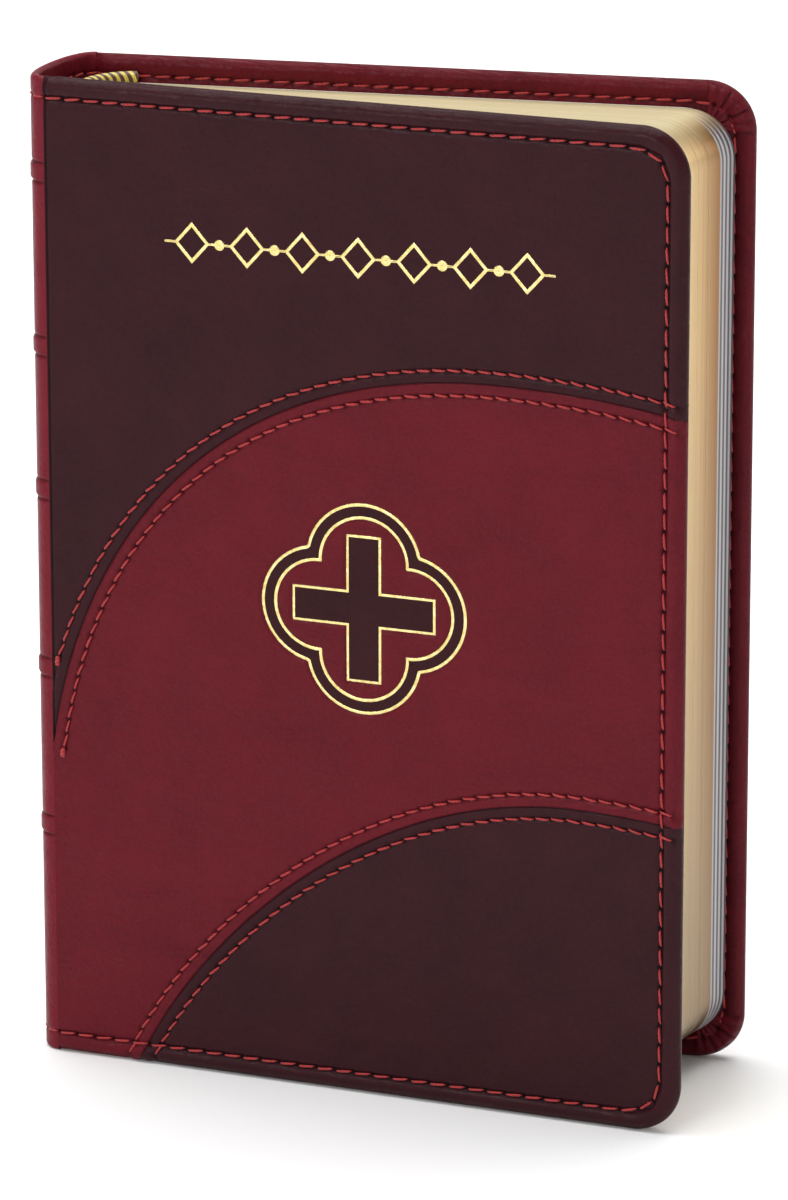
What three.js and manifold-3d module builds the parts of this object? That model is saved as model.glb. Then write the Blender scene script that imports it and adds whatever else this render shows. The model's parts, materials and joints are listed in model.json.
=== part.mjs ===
// Prayer book: a sewn block of gilt-edged leaves in a limp, padded, two-colour leather case.
//
// The book stands on its tail edges. X runs from the spine to the fore-edge, Y from the front
// cover to the back cover, and Z from tail to head. Lengths are millimetres. While it is being
// drawn, the origin is the outer tail corner of the front joint, where the front cover meets the
// spine. The last step moves the whole book so that its box is centred over the origin.
import * as THREE from "three";
import { mergeVertices } from "three/addons/utils/BufferGeometryUtils.js";
import Module from "manifold-3d";

const wasm = await Module();
wasm.setup();

// ---- Driving dimensions -------------------------------------------------------------------
const COVER_W = 118; // joint to fore-edge
const COVER_H = 179.5; // tail to head
const COVER_T = 2.7; // leather, board and turned-in leather together
const COVER_CORNER_R = 8.75;
const EDGE_ROLL = 0.9; // rounding of the folded leather edge
const LEATHER_T = 1.0;
const TURN_IN_T = 0.65;
const TURN_IN_W = 13;
const BOARD_INSET = 1.3;
const PASTEDOWN_T = 0.3;
const GLUE = 0.06; // film of glue between layers
const HINGE_GAP = 0.15; // half the gap left at each leather joint

const SPINE_T = 23.5; // outside thickness at the joints
const SWELL = THREE.MathUtils.degToRad(8.9); // the leaves swell, so the covers spread this much
const SPINE_BULGE = 4.6;
const BAND_Z = [42.7, 72.2, 105.0, 131.1, 162.4];
const BAND_H = 3.0;
const BAND_RAISE = 0.5;
const INLAY_T = 0.6;

const LEAF_TAIL = 4.75; // the leaves stop short of the covers at tail and head
const LEAF_HEAD = 174.75;
const LEAF_FORE_EDGE = 114;
const LEAF_CORNER_R = 8.5;
const BACK_ROUND_R = 9.75; // rounding of the sewn back
const BACK_ROUND_X = 1.9; // how close the rounded back comes to the joint line
const FORE_EDGE_HOLLOW = 2.4;
const FLYLEAF_T = 0.2;
const FLYLEAF_CLEAR = 0.15;
const SECTION_GAP = 0.08;
const TURN_GAP = 0.3; // between sections that turn apart
const FRONT_SECTIONS = 3;
const REAR_SECTIONS = 5;

const STITCH_IN = 3.6; // edge stitching, in from the folded edge
const STITCH_W = 0.5;
const STITCH_T = 0.3;
const STITCH_SINK = 0.03; // the thread lies just below the face, in a groove pressed by its own pull
const SIDE_GAP = 0.05;
const SEAM_ROW = 2.2; // each row of seam stitching, from the seam
const SEAM_CUT = 0.06;
const FOIL_T = 0.09;
const FOIL_SINK = 0.03; // stamping presses the foil into the leather
const FOIL_GAP = 0.03;

// Seams between the three leathers of the front cover, as Bezier control points (X, Z).
const UPPER_SEAM = [[0, 58], [5.5, 97], [31.8, 132.2], [84, 132.2], [97, 132.2], [109, 131], [118, 129]];
const LOWER_SEAM = [[15.8, 0], [27.7, 26], [60.4, 57.8], [98, 57.8], [105, 57.8], [112, 57.2], [118, 56.5]];

const EMBLEM = { x: 59.4, z: 89.6, lobeAt: 8.4, lobeR: 10.8, band: 3.0, arm: 13.4, armW: 6.6, line: 0.6 };
const ORNAMENT = { x: 58.6, z: 152.4, width: 72, height: 7.6, lozenges: 7, line: 0.85, dotR: 1.05 };

// ---- Leathers, papers and foil ------------------------------------------------------------
const surface = (color, roughness, metalness = 0) =>
  new THREE.MeshStandardMaterial({ color: new THREE.Color(color), roughness, metalness });
const BURGUNDY = surface("#5f2029", 0.5);
const SPINE_BURGUNDY = surface("#5d242c", 0.45);
const DARK_BROWN = surface("#402428", 0.5);
const INLAY_BROWN = surface("#3a1f20", 0.6);
const THREAD_RED = surface("#a8242a", 0.7);
const GOLD_FOIL = surface("#d9c98a", 0.3, 0.9);
const GILT_PAPER = surface("#d4bd88", 0.45, 0.3);
const PAPER = surface("#e6dfce", 0.85);
const CARD = surface("#8d8375", 0.9);
const CLOTH = surface("#d8d2c2", 0.95);
const SILK_YELLOW = surface("#c9b53c", 0.7);

// ---- Solid helpers ------------------------------------------------------------------------
function toManifold(geometry) {
  const bare = new THREE.BufferGeometry();
  bare.setAttribute("position", geometry.getAttribute("position").clone());
  if (geometry.index) bare.setIndex(geometry.index.clone());
  const welded = mergeVertices(bare, 1e-5);
  const mesh = new wasm.Mesh({
    numProp: 3,
    vertProperties: new Float32Array(welded.getAttribute("position").array),
    triVerts: new Uint32Array(welded.index.array),
  });
  return new wasm.Manifold(mesh);
}

function toGeometry(manifold) {
  const mesh = manifold.getMesh();
  const geometry = new THREE.BufferGeometry();
  geometry.setAttribute("position", new THREE.BufferAttribute(Float32Array.from(mesh.vertProperties), 3));
  geometry.setIndex(new THREE.BufferAttribute(Uint32Array.from(mesh.triVerts), 1));
  const flat = geometry.toNonIndexed();
  flat.computeVertexNormals();
  return flat;
}

const shapeOf = (points, holes = []) => {
  const shape = new THREE.Shape(points.map(([a, b]) => new THREE.Vector2(a, b)));
  for (const hole of holes) {
    shape.holes.push(new THREE.Path(hole.map(([a, b]) => new THREE.Vector2(a, b))));
  }
  return shape;
};

// A plan outline (X, Y) raised from z0 to z1, its ends rounded by `round`.
function upright(points, z0, z1, round = 0) {
  const options = { depth: z1 - z0 - 2 * round, bevelEnabled: round > 0, curveSegments: 6 };
  if (round > 0) {
    Object.assign(options, { bevelThickness: round, bevelSize: round, bevelOffset: -round, bevelSegments: 2 });
  }
  const geometry = new THREE.ExtrudeGeometry(shapeOf(points), options);
  geometry.translate(0, 0, z0 + round);
  return toManifold(geometry);
}

// A face outline (X, Z) given depth from y0 to y1, its rims rounded by `round`.
function panel(shape, y0, y1, round = 0) {
  const options = { depth: y1 - y0 - 2 * round, bevelEnabled: round > 0, curveSegments: 6 };
  if (round > 0) {
    Object.assign(options, { bevelThickness: round, bevelSize: round, bevelOffset: -round, bevelSegments: 3 });
  }
  const geometry = new THREE.ExtrudeGeometry(shape, options);
  geometry.rotateX(Math.PI / 2);
  geometry.translate(0, y1 - round, 0);
  return toManifold(geometry);
}

function boxBetween(x0, x1, y0, y1, z0, z1) {
  const geometry = new THREE.BoxGeometry(x1 - x0, y1 - y0, z1 - z0);
  geometry.translate((x0 + x1) / 2, (y0 + y1) / 2, (z0 + z1) / 2);
  return toManifold(geometry);
}

// ---- Curves -------------------------------------------------------------------------------
// Points along joined cubic Bezier pieces: four control points, then three more for each piece.
function alongBezier(control, steps) {
  const points = [];
  for (let k = 0; k + 3 < control.length; k += 3) {
    const piece = new THREE.CubicBezierCurve(
      ...control.slice(k, k + 4).map(([a, b]) => new THREE.Vector2(a, b)),
    );
    const sampled = piece.getSpacedPoints(steps).map((p) => [p.x, p.y]);
    points.push(...(k === 0 ? sampled : sampled.slice(1)));
  }
  return points;
}

// The same line moved sideways: a positive distance is to its left.
function sideways(points, distance) {
  return points.map(([x, y], i) => {
    const [ax, ay] = points[Math.max(i - 1, 0)];
    const [bx, by] = points[Math.min(i + 1, points.length - 1)];
    const length = Math.hypot(bx - ax, by - ay);
    return [x - (distance * (by - ay)) / length, y + (distance * (bx - ax)) / length];
  });
}

const ribbon = (points, width) => [
  ...sideways(points, width / 2),
  ...sideways(points, -width / 2).reverse(),
];

function arc(cx, cz, r, from, to, steps) {
  return Array.from({ length: steps + 1 }, (_, i) => {
    const angle = from + ((to - from) * i) / steps;
    return [cx + r * Math.cos(angle), cz + r * Math.sin(angle)];
  });
}

// Outline (X, Z) of a sheet whose fore-edge corners are rounded, listed from the spine's tail corner.
function sheetOutline(x0, x1, z0, z1, r) {
  return [
    [x0, z0],
    ...arc(x1 - r, z0 + r, r, -Math.PI / 2, 0, 8),
    ...arc(x1 - r, z1 - r, r, 0, Math.PI / 2, 8),
    [x0, z1],
  ];
}

// ---- Places -------------------------------------------------------------------------------
// Back cover pieces are drawn lying along X with their outside at SPINE_T, then turned by SWELL.
const backTurn = (solid) =>
  solid
    .translate([0, -SPINE_T, 0])
    .rotate([0, 0, THREE.MathUtils.radToDeg(SWELL)])
    .translate([0, SPINE_T, 0]);

const group = new THREE.Group();
group.name = "prayer_book";

function add(name, solid, material) {
  const mesh = new THREE.Mesh(toGeometry(solid), material);
  mesh.name = name;
  group.add(mesh);
}

// ---- Covers -------------------------------------------------------------------------------
const coverOutline = (inset) =>
  sheetOutline(-4, COVER_W - inset, inset, COVER_H - inset, Math.max(COVER_CORNER_R - inset, 2));
const rightOfJoint = (x) => boxBetween(x, COVER_W + 5, -5, SPINE_T + 5, -5, COVER_H + 5);

// The leather wraps the board: a face, a rounded edge, and a turned-in margin on the inside.
// `depth` maps a depth below the outside face to Y, so one function serves both covers.
function leatherTray(depth) {
  const between = (shape, d0, d1, round = 0) => {
    const [a, b] = [depth(d0), depth(d1)].sort((p, q) => p - q);
    return panel(shape, a, b, round);
  };
  const whole = between(shapeOf(coverOutline(0)), 0, COVER_T, EDGE_ROLL);
  const pocket = between(shapeOf(coverOutline(BOARD_INSET)), LEATHER_T, COVER_T - TURN_IN_T);
  const window = between(shapeOf(coverOutline(TURN_IN_W)), LEATHER_T, COVER_T + 1);
  return whole.subtract(pocket).subtract(window).intersect(rightOfJoint(HINGE_GAP));
}

function boardSolid(depth) {
  const [a, b] = [depth(LEATHER_T + GLUE), depth(COVER_T - TURN_IN_T - GLUE)].sort((p, q) => p - q);
  return panel(shapeOf(coverOutline(BOARD_INSET + 0.3)), a, b).intersect(rightOfJoint(1.2));
}

function pastedownSolid(depth) {
  const inside = COVER_T - TURN_IN_T - GLUE;
  const [a, b] = [depth(inside + GLUE), depth(inside + GLUE + PASTEDOWN_T)].sort((p, q) => p - q);
  return panel(shapeOf(coverOutline(TURN_IN_W + 0.2)), a, b).intersect(rightOfJoint(1.2));
}

// Edge stitching: head, fore-edge and tail, with small slanted steps at the corners.
function edgeStitchLine(start) {
  const inset = STITCH_IN;
  const corner = 5.2;
  const [x, z] = [COVER_W - inset, COVER_H - inset];
  return [
    [start, inset],
    [x - corner, inset],
    [x - 1.4, inset + 1.4],
    [x, inset + corner],
    [x, z - corner],
    [x - 1.4, z - 1.4],
    [x - corner, z],
    [start, z],
  ];
}

const frontDepth = (d) => d;
const backDepth = (d) => SPINE_T - d;

// A row of thread along a line on a cover, and the groove that it lies in.
function threadRow(points, depth) {
  const [a, b] = [depth(STITCH_SINK), depth(STITCH_SINK + STITCH_T)].sort((p, q) => p - q);
  return panel(shapeOf(ribbon(points, STITCH_W)), a, b);
}

function threadGroove(points, depth) {
  const [a, b] = [depth(-1), depth(STITCH_SINK + STITCH_T + GLUE)].sort((p, q) => p - q);
  return panel(shapeOf(ribbon(points, STITCH_W + 2 * SIDE_GAP)), a, b);
}

function buildFrontCover() {
  const upper = alongBezier(UPPER_SEAM, 16);
  const lower = alongBezier(LOWER_SEAM, 16);
  const onFace = ([x, z]) => x > 1.6 && x < COVER_W - 1.3 && z > 1.3;
  const rows = {
    upper_seam_stitch_outer: sideways(upper, SEAM_ROW).filter(onFace),
    upper_seam_stitch_inner: sideways(upper, -SEAM_ROW).filter(onFace),
    lower_seam_stitch_outer: sideways(lower, SEAM_ROW).filter(onFace),
    lower_seam_stitch_inner: sideways(lower, -SEAM_ROW).filter(onFace),
  };
  const edgeLine = edgeStitchLine(1.6);
  let tray = leatherTray(frontDepth).subtract(threadGroove(edgeLine, frontDepth));
  for (const line of Object.values(rows)) tray = tray.subtract(threadGroove(line, frontDepth));
  tray = tray.subtract(emblemRecess()).subtract(ornamentSolid(FOIL_GAP, -1, FOIL_SINK + FOIL_T + FOIL_GAP));

  const far = 10;
  const aboveUpper = (shift) => {
    const line = sideways(upper, shift);
    const [x0, z0] = line[0];
    const [x1, z1] = line[line.length - 1];
    const top = COVER_H + far;
    const region = [[x0 - far, z0 - 2 * far], ...line, [x1 + far, z1], [x1 + far, top], [x0 - far, top]];
    return panel(shapeOf(region), -1, COVER_T + 1);
  };
  const belowLower = (shift) => {
    const line = sideways(lower, shift);
    const [x0, z0] = line[0];
    const [x1, z1] = line[line.length - 1];
    const region = [[x0 - 3, z0 - far], [x1 + far, -far], [x1 + far, z1], ...line.slice().reverse()];
    return panel(shapeOf(region), -1, COVER_T + 1);
  };
  const half = SEAM_CUT / 2;
  add("front_leather_upper", tray.intersect(aboveUpper(half)), DARK_BROWN);
  add("front_leather_middle", tray.subtract(aboveUpper(-half)).subtract(belowLower(half)), BURGUNDY);
  add("front_leather_lower", tray.intersect(belowLower(-half)), DARK_BROWN);
  add("front_board", boardSolid(frontDepth), CARD);
  add("front_pastedown", pastedownSolid(frontDepth), PAPER);

  // The edge stitching crosses the seam rows, so each row stops on this side of it.
  const crossing = COVER_W - STITCH_IN - 0.6;
  const beyond = boxBetween(crossing, COVER_W + 1, -1, 1, 0, COVER_H);
  const belowTail = boxBetween(0, COVER_W, -1, 1, -1, STITCH_IN + 0.6);
  for (const [name, line] of Object.entries(rows)) {
    add(name, threadRow(line, frontDepth).subtract(beyond).subtract(belowTail), THREAD_RED);
  }
  add("front_edge_stitch", threadRow(edgeLine, frontDepth), THREAD_RED);
}

function buildBackCover() {
  const line = edgeStitchLine(1.6);
  const tray = leatherTray(backDepth).subtract(threadGroove(line, backDepth));
  add("back_leather", backTurn(tray), BURGUNDY);
  add("back_board", backTurn(boardSolid(backDepth)), CARD);
  add("back_pastedown", backTurn(pastedownSolid(backDepth)), PAPER);
  add("back_edge_stitch", backTurn(threadRow(line, backDepth)), THREAD_RED);
}

// ---- Stamped foil on the front cover ------------------------------------------------------
// A four-lobed outline: circles of radius r set `out` from the centre along both axes.
function lobedOutline(out, r) {
  const meet = Math.acos(out / (r * Math.SQRT2)); // half the arc that a neighbour hides
  const half = (3 * Math.PI) / 4 - meet;
  const points = [];
  for (let k = 0; k < 4; k += 1) {
    const middle = (k * Math.PI) / 2;
    const [cx, cz] = [EMBLEM.x + out * Math.cos(middle), EMBLEM.z + out * Math.sin(middle)];
    points.push(...arc(cx, cz, r, middle - half, middle + half, 18).slice(0, -1));
  }
  return points;
}

function crossOutline(arm, width) {
  const h = width / 2;
  const { x, z } = EMBLEM;
  const corner = [[h, -arm], [h, -h], [arm, -h], [arm, h], [h, h], [h, arm]];
  return [...corner, ...corner.map(([a, b]) => [-a, -b])].map(([a, b]) => [x + a, z + b]);
}

const lobes = (r) => lobedOutline(EMBLEM.lobeAt, r);
const crossBy = (d) => crossOutline(EMBLEM.arm - d, EMBLEM.armW - 2 * d);

function emblemRecess() {
  const { lobeR, band } = EMBLEM;
  const deep = FOIL_SINK + FOIL_T + FOIL_GAP;
  const cut = (outside, holes) => panel(shapeOf(outside, holes), -1, deep);
  return cut(lobes(lobeR + FOIL_GAP), [lobes(lobeR - band - FOIL_GAP)]).add(cut(crossBy(-FOIL_GAP), []));
}

function buildEmblem() {
  const { lobeR, band, line } = EMBLEM;
  const foil = (outside, holes) => panel(shapeOf(outside, holes), FOIL_SINK, FOIL_SINK + FOIL_T);
  const inner = lobeR - band;
  add("emblem_band_fill", foil(lobes(lobeR - line - FOIL_GAP), [lobes(inner + line + FOIL_GAP)]), INLAY_BROWN);
  add("emblem_outline_outer", foil(lobes(lobeR), [lobes(lobeR - line)]), GOLD_FOIL);
  add("emblem_outline_inner", foil(lobes(inner + line), [lobes(inner)]), GOLD_FOIL);
  add("emblem_cross_fill", foil(crossBy(line + FOIL_GAP), []), INLAY_BROWN);
  add("emblem_cross_outline", foil(crossBy(0), [crossBy(line)]), GOLD_FOIL);
}

// A band of open lozenges joined by a rule, with a round dot between each two. `grow` widens every line.
function ornamentSolid(grow, y0, y1) {
  const { x, z, width, height, lozenges, line, dotR } = ORNAMENT;
  const pitch = width / lozenges;
  const half = pitch * 0.33;
  const slope = height / (2 * half);
  const diamond = (cx, w) => [[cx - w, z], [cx, z - w * slope], [cx + w, z], [cx, z + w * slope]];
  const flat = (points, holes = []) => panel(shapeOf(points, holes), y0, y1);
  const h = 0.2 + grow;
  const bar = (x0, x1) => flat([[x0, z - h], [x1, z - h], [x1, z + h], [x0, z + h]]);
  let solid = null;
  for (let k = 0; k < lozenges; k += 1) {
    const cx = x - width / 2 + pitch * (k + 0.5);
    const open = flat(diamond(cx, half + 1.3 * grow), [diamond(cx, half - line - 1.3 * grow)]);
    const left = bar(cx - pitch / 2 - grow, cx - half + 0.2);
    const right = bar(cx + half - 0.2, cx + pitch / 2 + grow);
    solid = solid ? solid.add(open).add(left).add(right) : open.add(left).add(right);
    if (k > 0) solid = solid.add(flat(arc(cx - pitch / 2, z, dotR + grow, 0, 2 * Math.PI, 14).slice(0, -1)));
  }
  return solid;
}

function buildOrnament() {
  add("title_ornament", ornamentSolid(0, FOIL_SINK, FOIL_SINK + FOIL_T), GOLD_FOIL);
}

// ---- Spine --------------------------------------------------------------------------------
// Outside of the spine leather in plan, from the front joint round to the back joint.
function spineCurve() {
  const reach = 3.2;
  const end = [-HINGE_GAP * Math.cos(SWELL), SPINE_T - HINGE_GAP * Math.sin(SWELL)];
  return alongBezier(
    [
      [-HINGE_GAP, 0],
      [-reach, 0],
      [-SPINE_BULGE, 3.2],
      [-SPINE_BULGE, 9.5],
      [-SPINE_BULGE, 16.5],
      [-reach, SPINE_T - reach * Math.tan(SWELL)],
      end,
    ],
    12,
  );
}

// A strip that follows the spine between two depths below its outside.
function spineStrip(curve, d0, d1) {
  return [...sideways(curve, -d0), ...sideways(curve, -d1).reverse()];
}

function buildSpine() {
  const curve = spineCurve();
  const middle = curve.slice(4, -4);
  const lined = curve.slice(3, -3);
  let leather = upright(spineStrip(curve, 0, LEATHER_T), 0, COVER_H, 0.3);
  for (const z of BAND_Z) {
    leather = leather.add(upright(spineStrip(middle, -BAND_RAISE, 0.4), z - BAND_H / 2, z + BAND_H / 2, 0.3));
  }
  const foldTop = LEATHER_T + TURN_IN_T;
  leather = leather.add(upright(spineStrip(lined, 0.6, foldTop), 1, TURN_IN_W));
  leather = leather.add(upright(spineStrip(lined, 0.6, foldTop), COVER_H - TURN_IN_W, COVER_H - 1));

  const stitched = curve.slice(3, -3);
  const deep = STITCH_SINK + STITCH_T;
  for (const [name, z] of [["tail", STITCH_IN], ["head", COVER_H - STITCH_IN]]) {
    const half = STITCH_W / 2;
    const groove = upright(spineStrip(curve.slice(2, -2), -1, deep + GLUE), z - half - SIDE_GAP, z + half + SIDE_GAP);
    leather = leather.subtract(groove);
    const thread = upright(spineStrip(stitched, STITCH_SINK, deep), z - half, z + half);
    add(`spine_edge_stitch_${name}`, thread, THREAD_RED);
  }
  add("spine_leather", leather, SPINE_BURGUNDY);

  const inlayIn = LEATHER_T + GLUE + INLAY_T;
  const inlay = upright(spineStrip(lined, LEATHER_T + GLUE, inlayIn), TURN_IN_W + 0.4, COVER_H - TURN_IN_W - 0.4);
  add("spine_inlay", inlay, CARD);
}

// ---- Leaves -------------------------------------------------------------------------------
const LEAF_FRONT = COVER_T + FLYLEAF_CLEAR + FLYLEAF_T + FLYLEAF_CLEAR;
// Y of the leaf that lies `share` of the way through the block, 0 at the front and 1 at the back.
function leafY(share, x) {
  const rear = SPINE_T + x * Math.tan(SWELL) - LEAF_FRONT / Math.cos(SWELL);
  return LEAF_FRONT + share * (rear - LEAF_FRONT);
}
const ROUND_MID_Y = (leafY(0, 5) + leafY(1, 5)) / 2;

// X of the rounded back at a given Y, `out` measured outward from the folds.
function backX(y, out = 0) {
  const r = BACK_ROUND_R + out;
  const off = Math.min(Math.abs(y - ROUND_MID_Y), r * 0.96);
  return BACK_ROUND_X + BACK_ROUND_R - Math.sqrt(r * r - off * off);
}

function foreEdgeX(share) {
  const rise = 1 - (2 * share - 1) ** 2;
  return LEAF_FORE_EDGE - 0.3 * share - FORE_EDGE_HOLLOW * rise;
}

// Plan outline of the leaves between two shares of the block; gaps are taken off each side.
function sectionPlan(from, to, gapFrom, gapTo) {
  const steps = 4;
  const shares = Array.from({ length: steps + 1 }, (_, i) => from + ((to - from) * i) / steps);
  const trim = (i) => (i === 0 ? gapFrom : i === steps ? -gapTo : 0);
  const fold = shares.map((share, i) => [0, leafY(share, 0) + trim(i)]);
  const edge = shares.map((share, i) => {
    const x = foreEdgeX(share);
    return [x, leafY(share, x) + trim(i)];
  });
  return [...edge, ...fold.reverse()];
}

const leafTrim = panel(
  shapeOf(sheetOutline(-10, LEAF_FORE_EDGE, LEAF_TAIL, LEAF_HEAD, LEAF_CORNER_R)),
  -5,
  60,
);

// Everything on the leaves' side of the rounded back.
const backLine = Array.from({ length: 25 }, (_, i) => ROUND_MID_Y - 12 + i).map((y) => [backX(y) + 0.05, y]);
const insideBack = upright([...backLine, [130, 60], [130, -5], [backLine[0][0], -5]].reverse(), 0, COVER_H);

function leafSolid(plan) {
  return upright(plan, LEAF_TAIL - 1, LEAF_HEAD + 1).intersect(leafTrim).intersect(insideBack);
}

function buildLeaves() {
  const count = FRONT_SECTIONS + REAR_SECTIONS;
  const half = SECTION_GAP / 2;
  for (let k = 0; k < count; k += 1) {
    const inFront = k < FRONT_SECTIONS;
    const gapFrom = k === FRONT_SECTIONS ? TURN_GAP / 2 : half;
    const gapTo = k === FRONT_SECTIONS - 1 ? TURN_GAP / 2 : half;
    const plan = sectionPlan(k / count, (k + 1) / count, gapFrom, gapTo);
    const name = inFront ? `front_section_${k + 1}` : `rear_section_${k - FRONT_SECTIONS + 1}`;
    add(name, leafSolid(plan), GILT_PAPER);
  }
  const x0 = backX(leafY(0, 5)) + 0.6;
  const y0 = COVER_T + FLYLEAF_CLEAR;
  const fly = [[x0, y0], [foreEdgeX(0), y0], [foreEdgeX(0), y0 + FLYLEAF_T], [x0, y0 + FLYLEAF_T]];
  add("front_flyleaf", leafSolid(fly), PAPER);
  const back = fly.map(([x, y]) => [x, SPINE_T - y]);
  add("rear_flyleaf", backTurn(leafSolid(back)), PAPER);
}

// ---- Sewn back ----------------------------------------------------------------------------
// A layer that follows the rounded back between two heights off the folds, over a span of Y.
function backLayer(y0, y1, out0, out1, steps = 10) {
  const ys = Array.from({ length: steps + 1 }, (_, i) => y0 + ((y1 - y0) * i) / steps);
  const near = ys.map((y) => [backX(y, out0), y]);
  const far = ys.map((y) => [backX(y, out1), y]);
  return [...near, ...far.reverse()];
}

function buildSewnBack() {
  const split = leafY(FRONT_SECTIONS / (FRONT_SECTIONS + REAR_SECTIONS), backX(ROUND_MID_Y));
  const first = leafY(0, 5) + 0.2;
  const last = leafY(1, 5) - 0.4;
  const glueOut = 0.9;
  add("front_fold_glue", upright(backLayer(first, split - 0.2, 0.1, glueOut), 5.5, 174), PAPER);
  add("fold_glue", upright(backLayer(split + 0.2, last, 0.1, glueOut), 5.5, 174), PAPER);

  const tapeOut = glueOut + 0.06;
  const tapes = [40, 90, 140];
  tapes.forEach((z, k) => {
    const plan = backLayer(split + 0.4, last - 0.5, tapeOut, tapeOut + 0.3);
    add(`sewing_tape_${k + 1}`, upright(plan, z - 6, z + 6), CLOTH);
  });
  const mullOut = tapeOut + 0.36;
  add("mull_cloth", upright(backLayer(split + 0.4, last - 0.3, mullOut, mullOut + 0.25), 14, 166), CLOTH);

  // A flattened paper tube bridges the hollow between the mull and the spine inlay.
  const curve = spineCurve();
  const wall = 0.35;
  const [low, high] = [16, 164];
  const [y0, y1] = [split + 0.8, ROUND_MID_Y + 3.2];
  const inlayIn = LEATHER_T + 2 * GLUE + INLAY_T;
  const mullIn = mullOut + 0.25 + GLUE;
  const within = boxBetween(-10, 10, y0, y1, low, high);
  const onInlay = upright(spineStrip(curve, inlayIn, inlayIn + wall), low, high).intersect(within);
  const onMull = upright(backLayer(y0, y1, mullIn, mullIn + wall), low, high);
  const webs = boxBetween(-4, 3, y0 + 0.05, y0 + wall, low, high)
    .add(boxBetween(-4, 3, y1 - wall, y1 - 0.05, low, high))
    .subtract(upright(spineStrip(curve, -2, inlayIn + 0.12), 0, COVER_H))
    .subtract(upright(backLayer(y0 - 1, y1 + 1, -6, mullIn + 0.12), 0, COVER_H));
  add("hollow_tube", onInlay.add(onMull).add(webs), PAPER);

  for (const [name, z] of [["head_band", LEAF_HEAD + 1.15], ["tail_band", LEAF_TAIL - 1.15]]) {
    const steps = 14;
    const [a, b] = [first + 0.8, last - 0.2];
    const path = Array.from({ length: steps + 1 }, (_, i) => {
      const y = a + ((b - a) * i) / steps;
      return new THREE.Vector3(backX(y) + 0.7, y, z);
    });
    const tubeGeometry = new THREE.ExtrudeGeometry(
      shapeOf(arc(0, 0, 1.05, 0, 2 * Math.PI, 8).slice(0, -1)),
      { steps, extrudePath: new THREE.CatmullRomCurve3(path), bevelEnabled: false },
    );
    add(name, toManifold(tubeGeometry), SILK_YELLOW);
  }
}

buildFrontCover();
buildBackCover();
buildEmblem();
buildOrnament();
buildSpine();
buildLeaves();
buildSewnBack();

// Centre the book's box over the origin, with its tail on the ground.
const bounds = new THREE.Box3().setFromObject(group);
const middle = bounds.getCenter(new THREE.Vector3());
for (const mesh of group.children) mesh.geometry.translate(-middle.x, -middle.y, -bounds.min.z);

export default group;
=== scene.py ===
"""Looks of the prayer book: leather covers, stitching, gilt leaves, bands and foil.

Shapes are drawn in millimetres from the foot of the front joint, as the CAD model is: X runs to
the fore-edge, Y from the front cover to the back cover, and Z up. to_row() turns them into the
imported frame's metres.
"""

import json
import math
import random

import bpy
import numpy as np
from bmesh import new as new_bmesh
from bmesh.ops import recalc_face_normals, remove_doubles
from mathutils import Matrix, Vector
from mathutils.geometry import delaunay_2d_cdt


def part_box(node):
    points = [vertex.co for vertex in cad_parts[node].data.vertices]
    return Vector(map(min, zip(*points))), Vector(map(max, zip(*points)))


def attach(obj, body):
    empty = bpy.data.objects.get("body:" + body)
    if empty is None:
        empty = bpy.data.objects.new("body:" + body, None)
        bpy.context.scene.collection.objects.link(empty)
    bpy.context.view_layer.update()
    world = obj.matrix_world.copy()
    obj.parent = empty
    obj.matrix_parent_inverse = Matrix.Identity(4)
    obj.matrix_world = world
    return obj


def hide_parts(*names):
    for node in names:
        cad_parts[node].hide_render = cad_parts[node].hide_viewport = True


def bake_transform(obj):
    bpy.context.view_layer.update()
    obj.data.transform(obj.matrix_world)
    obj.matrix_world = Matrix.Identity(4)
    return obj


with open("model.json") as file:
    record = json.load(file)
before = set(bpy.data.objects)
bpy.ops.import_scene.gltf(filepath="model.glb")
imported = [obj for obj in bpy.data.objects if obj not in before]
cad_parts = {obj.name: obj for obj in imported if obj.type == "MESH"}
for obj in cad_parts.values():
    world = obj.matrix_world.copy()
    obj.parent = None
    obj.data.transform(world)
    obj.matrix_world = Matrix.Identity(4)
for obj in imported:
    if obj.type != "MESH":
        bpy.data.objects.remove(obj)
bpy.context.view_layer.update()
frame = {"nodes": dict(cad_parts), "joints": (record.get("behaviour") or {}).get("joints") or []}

# ---- Sizes, from the frame where it holds them (millimetres)
MM = 0.001
joints = {j["name"]: j for j in frame["joints"]}
ORIGIN = np.array(joints["front_cover_hinge"]["pos_m"])


def to_row(points):
    return np.asarray(points, float) * MM + ORIGIN


def node_box(node):
    """Lowest and highest corner of a CAD node, in the drawing's millimetres."""
    low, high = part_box(node)
    return (np.array(low) - ORIGIN) / MM, (np.array(high) - ORIGIN) / MM


def joint_point(name):
    return (np.array(joints[name]["pos_m"]) - ORIGIN) / MM


COVER_W, COVER_T, _ = node_box("front_leather_middle")[1]
COVER_H = node_box("back_leather")[1][2]
SPINE_T = joint_point("back_cover_hinge")[1]
SPINE_BULGE = 4.6
LEAF_TAIL, LEAF_HEAD = node_box("rear_section_3")[0][2], node_box("rear_section_3")[1][2]
LEAF_FORE_EDGE = node_box("front_section_1")[1][0]
SWELL = math.radians(8.9)  # the leaves swell, so the back cover leans out by this much
CORNER_R = 8.75
TURN_IN_W = 13
TURN_IN_DEPTH = 1.65  # leather and turn-in together
WINDOW_DEPTH = 2.05  # where the board shows inside the turn-in
FACE_RISE = 0.10  # the face stands this much prouder than the CAD face inside the stitching
ROLL_W = 1.7  # how far in from the edge the folded leather stays round
STITCH_IN = 3.6
SEAM_ROW = 2.2
LEAF_CORNER_R = 8.5

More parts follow.
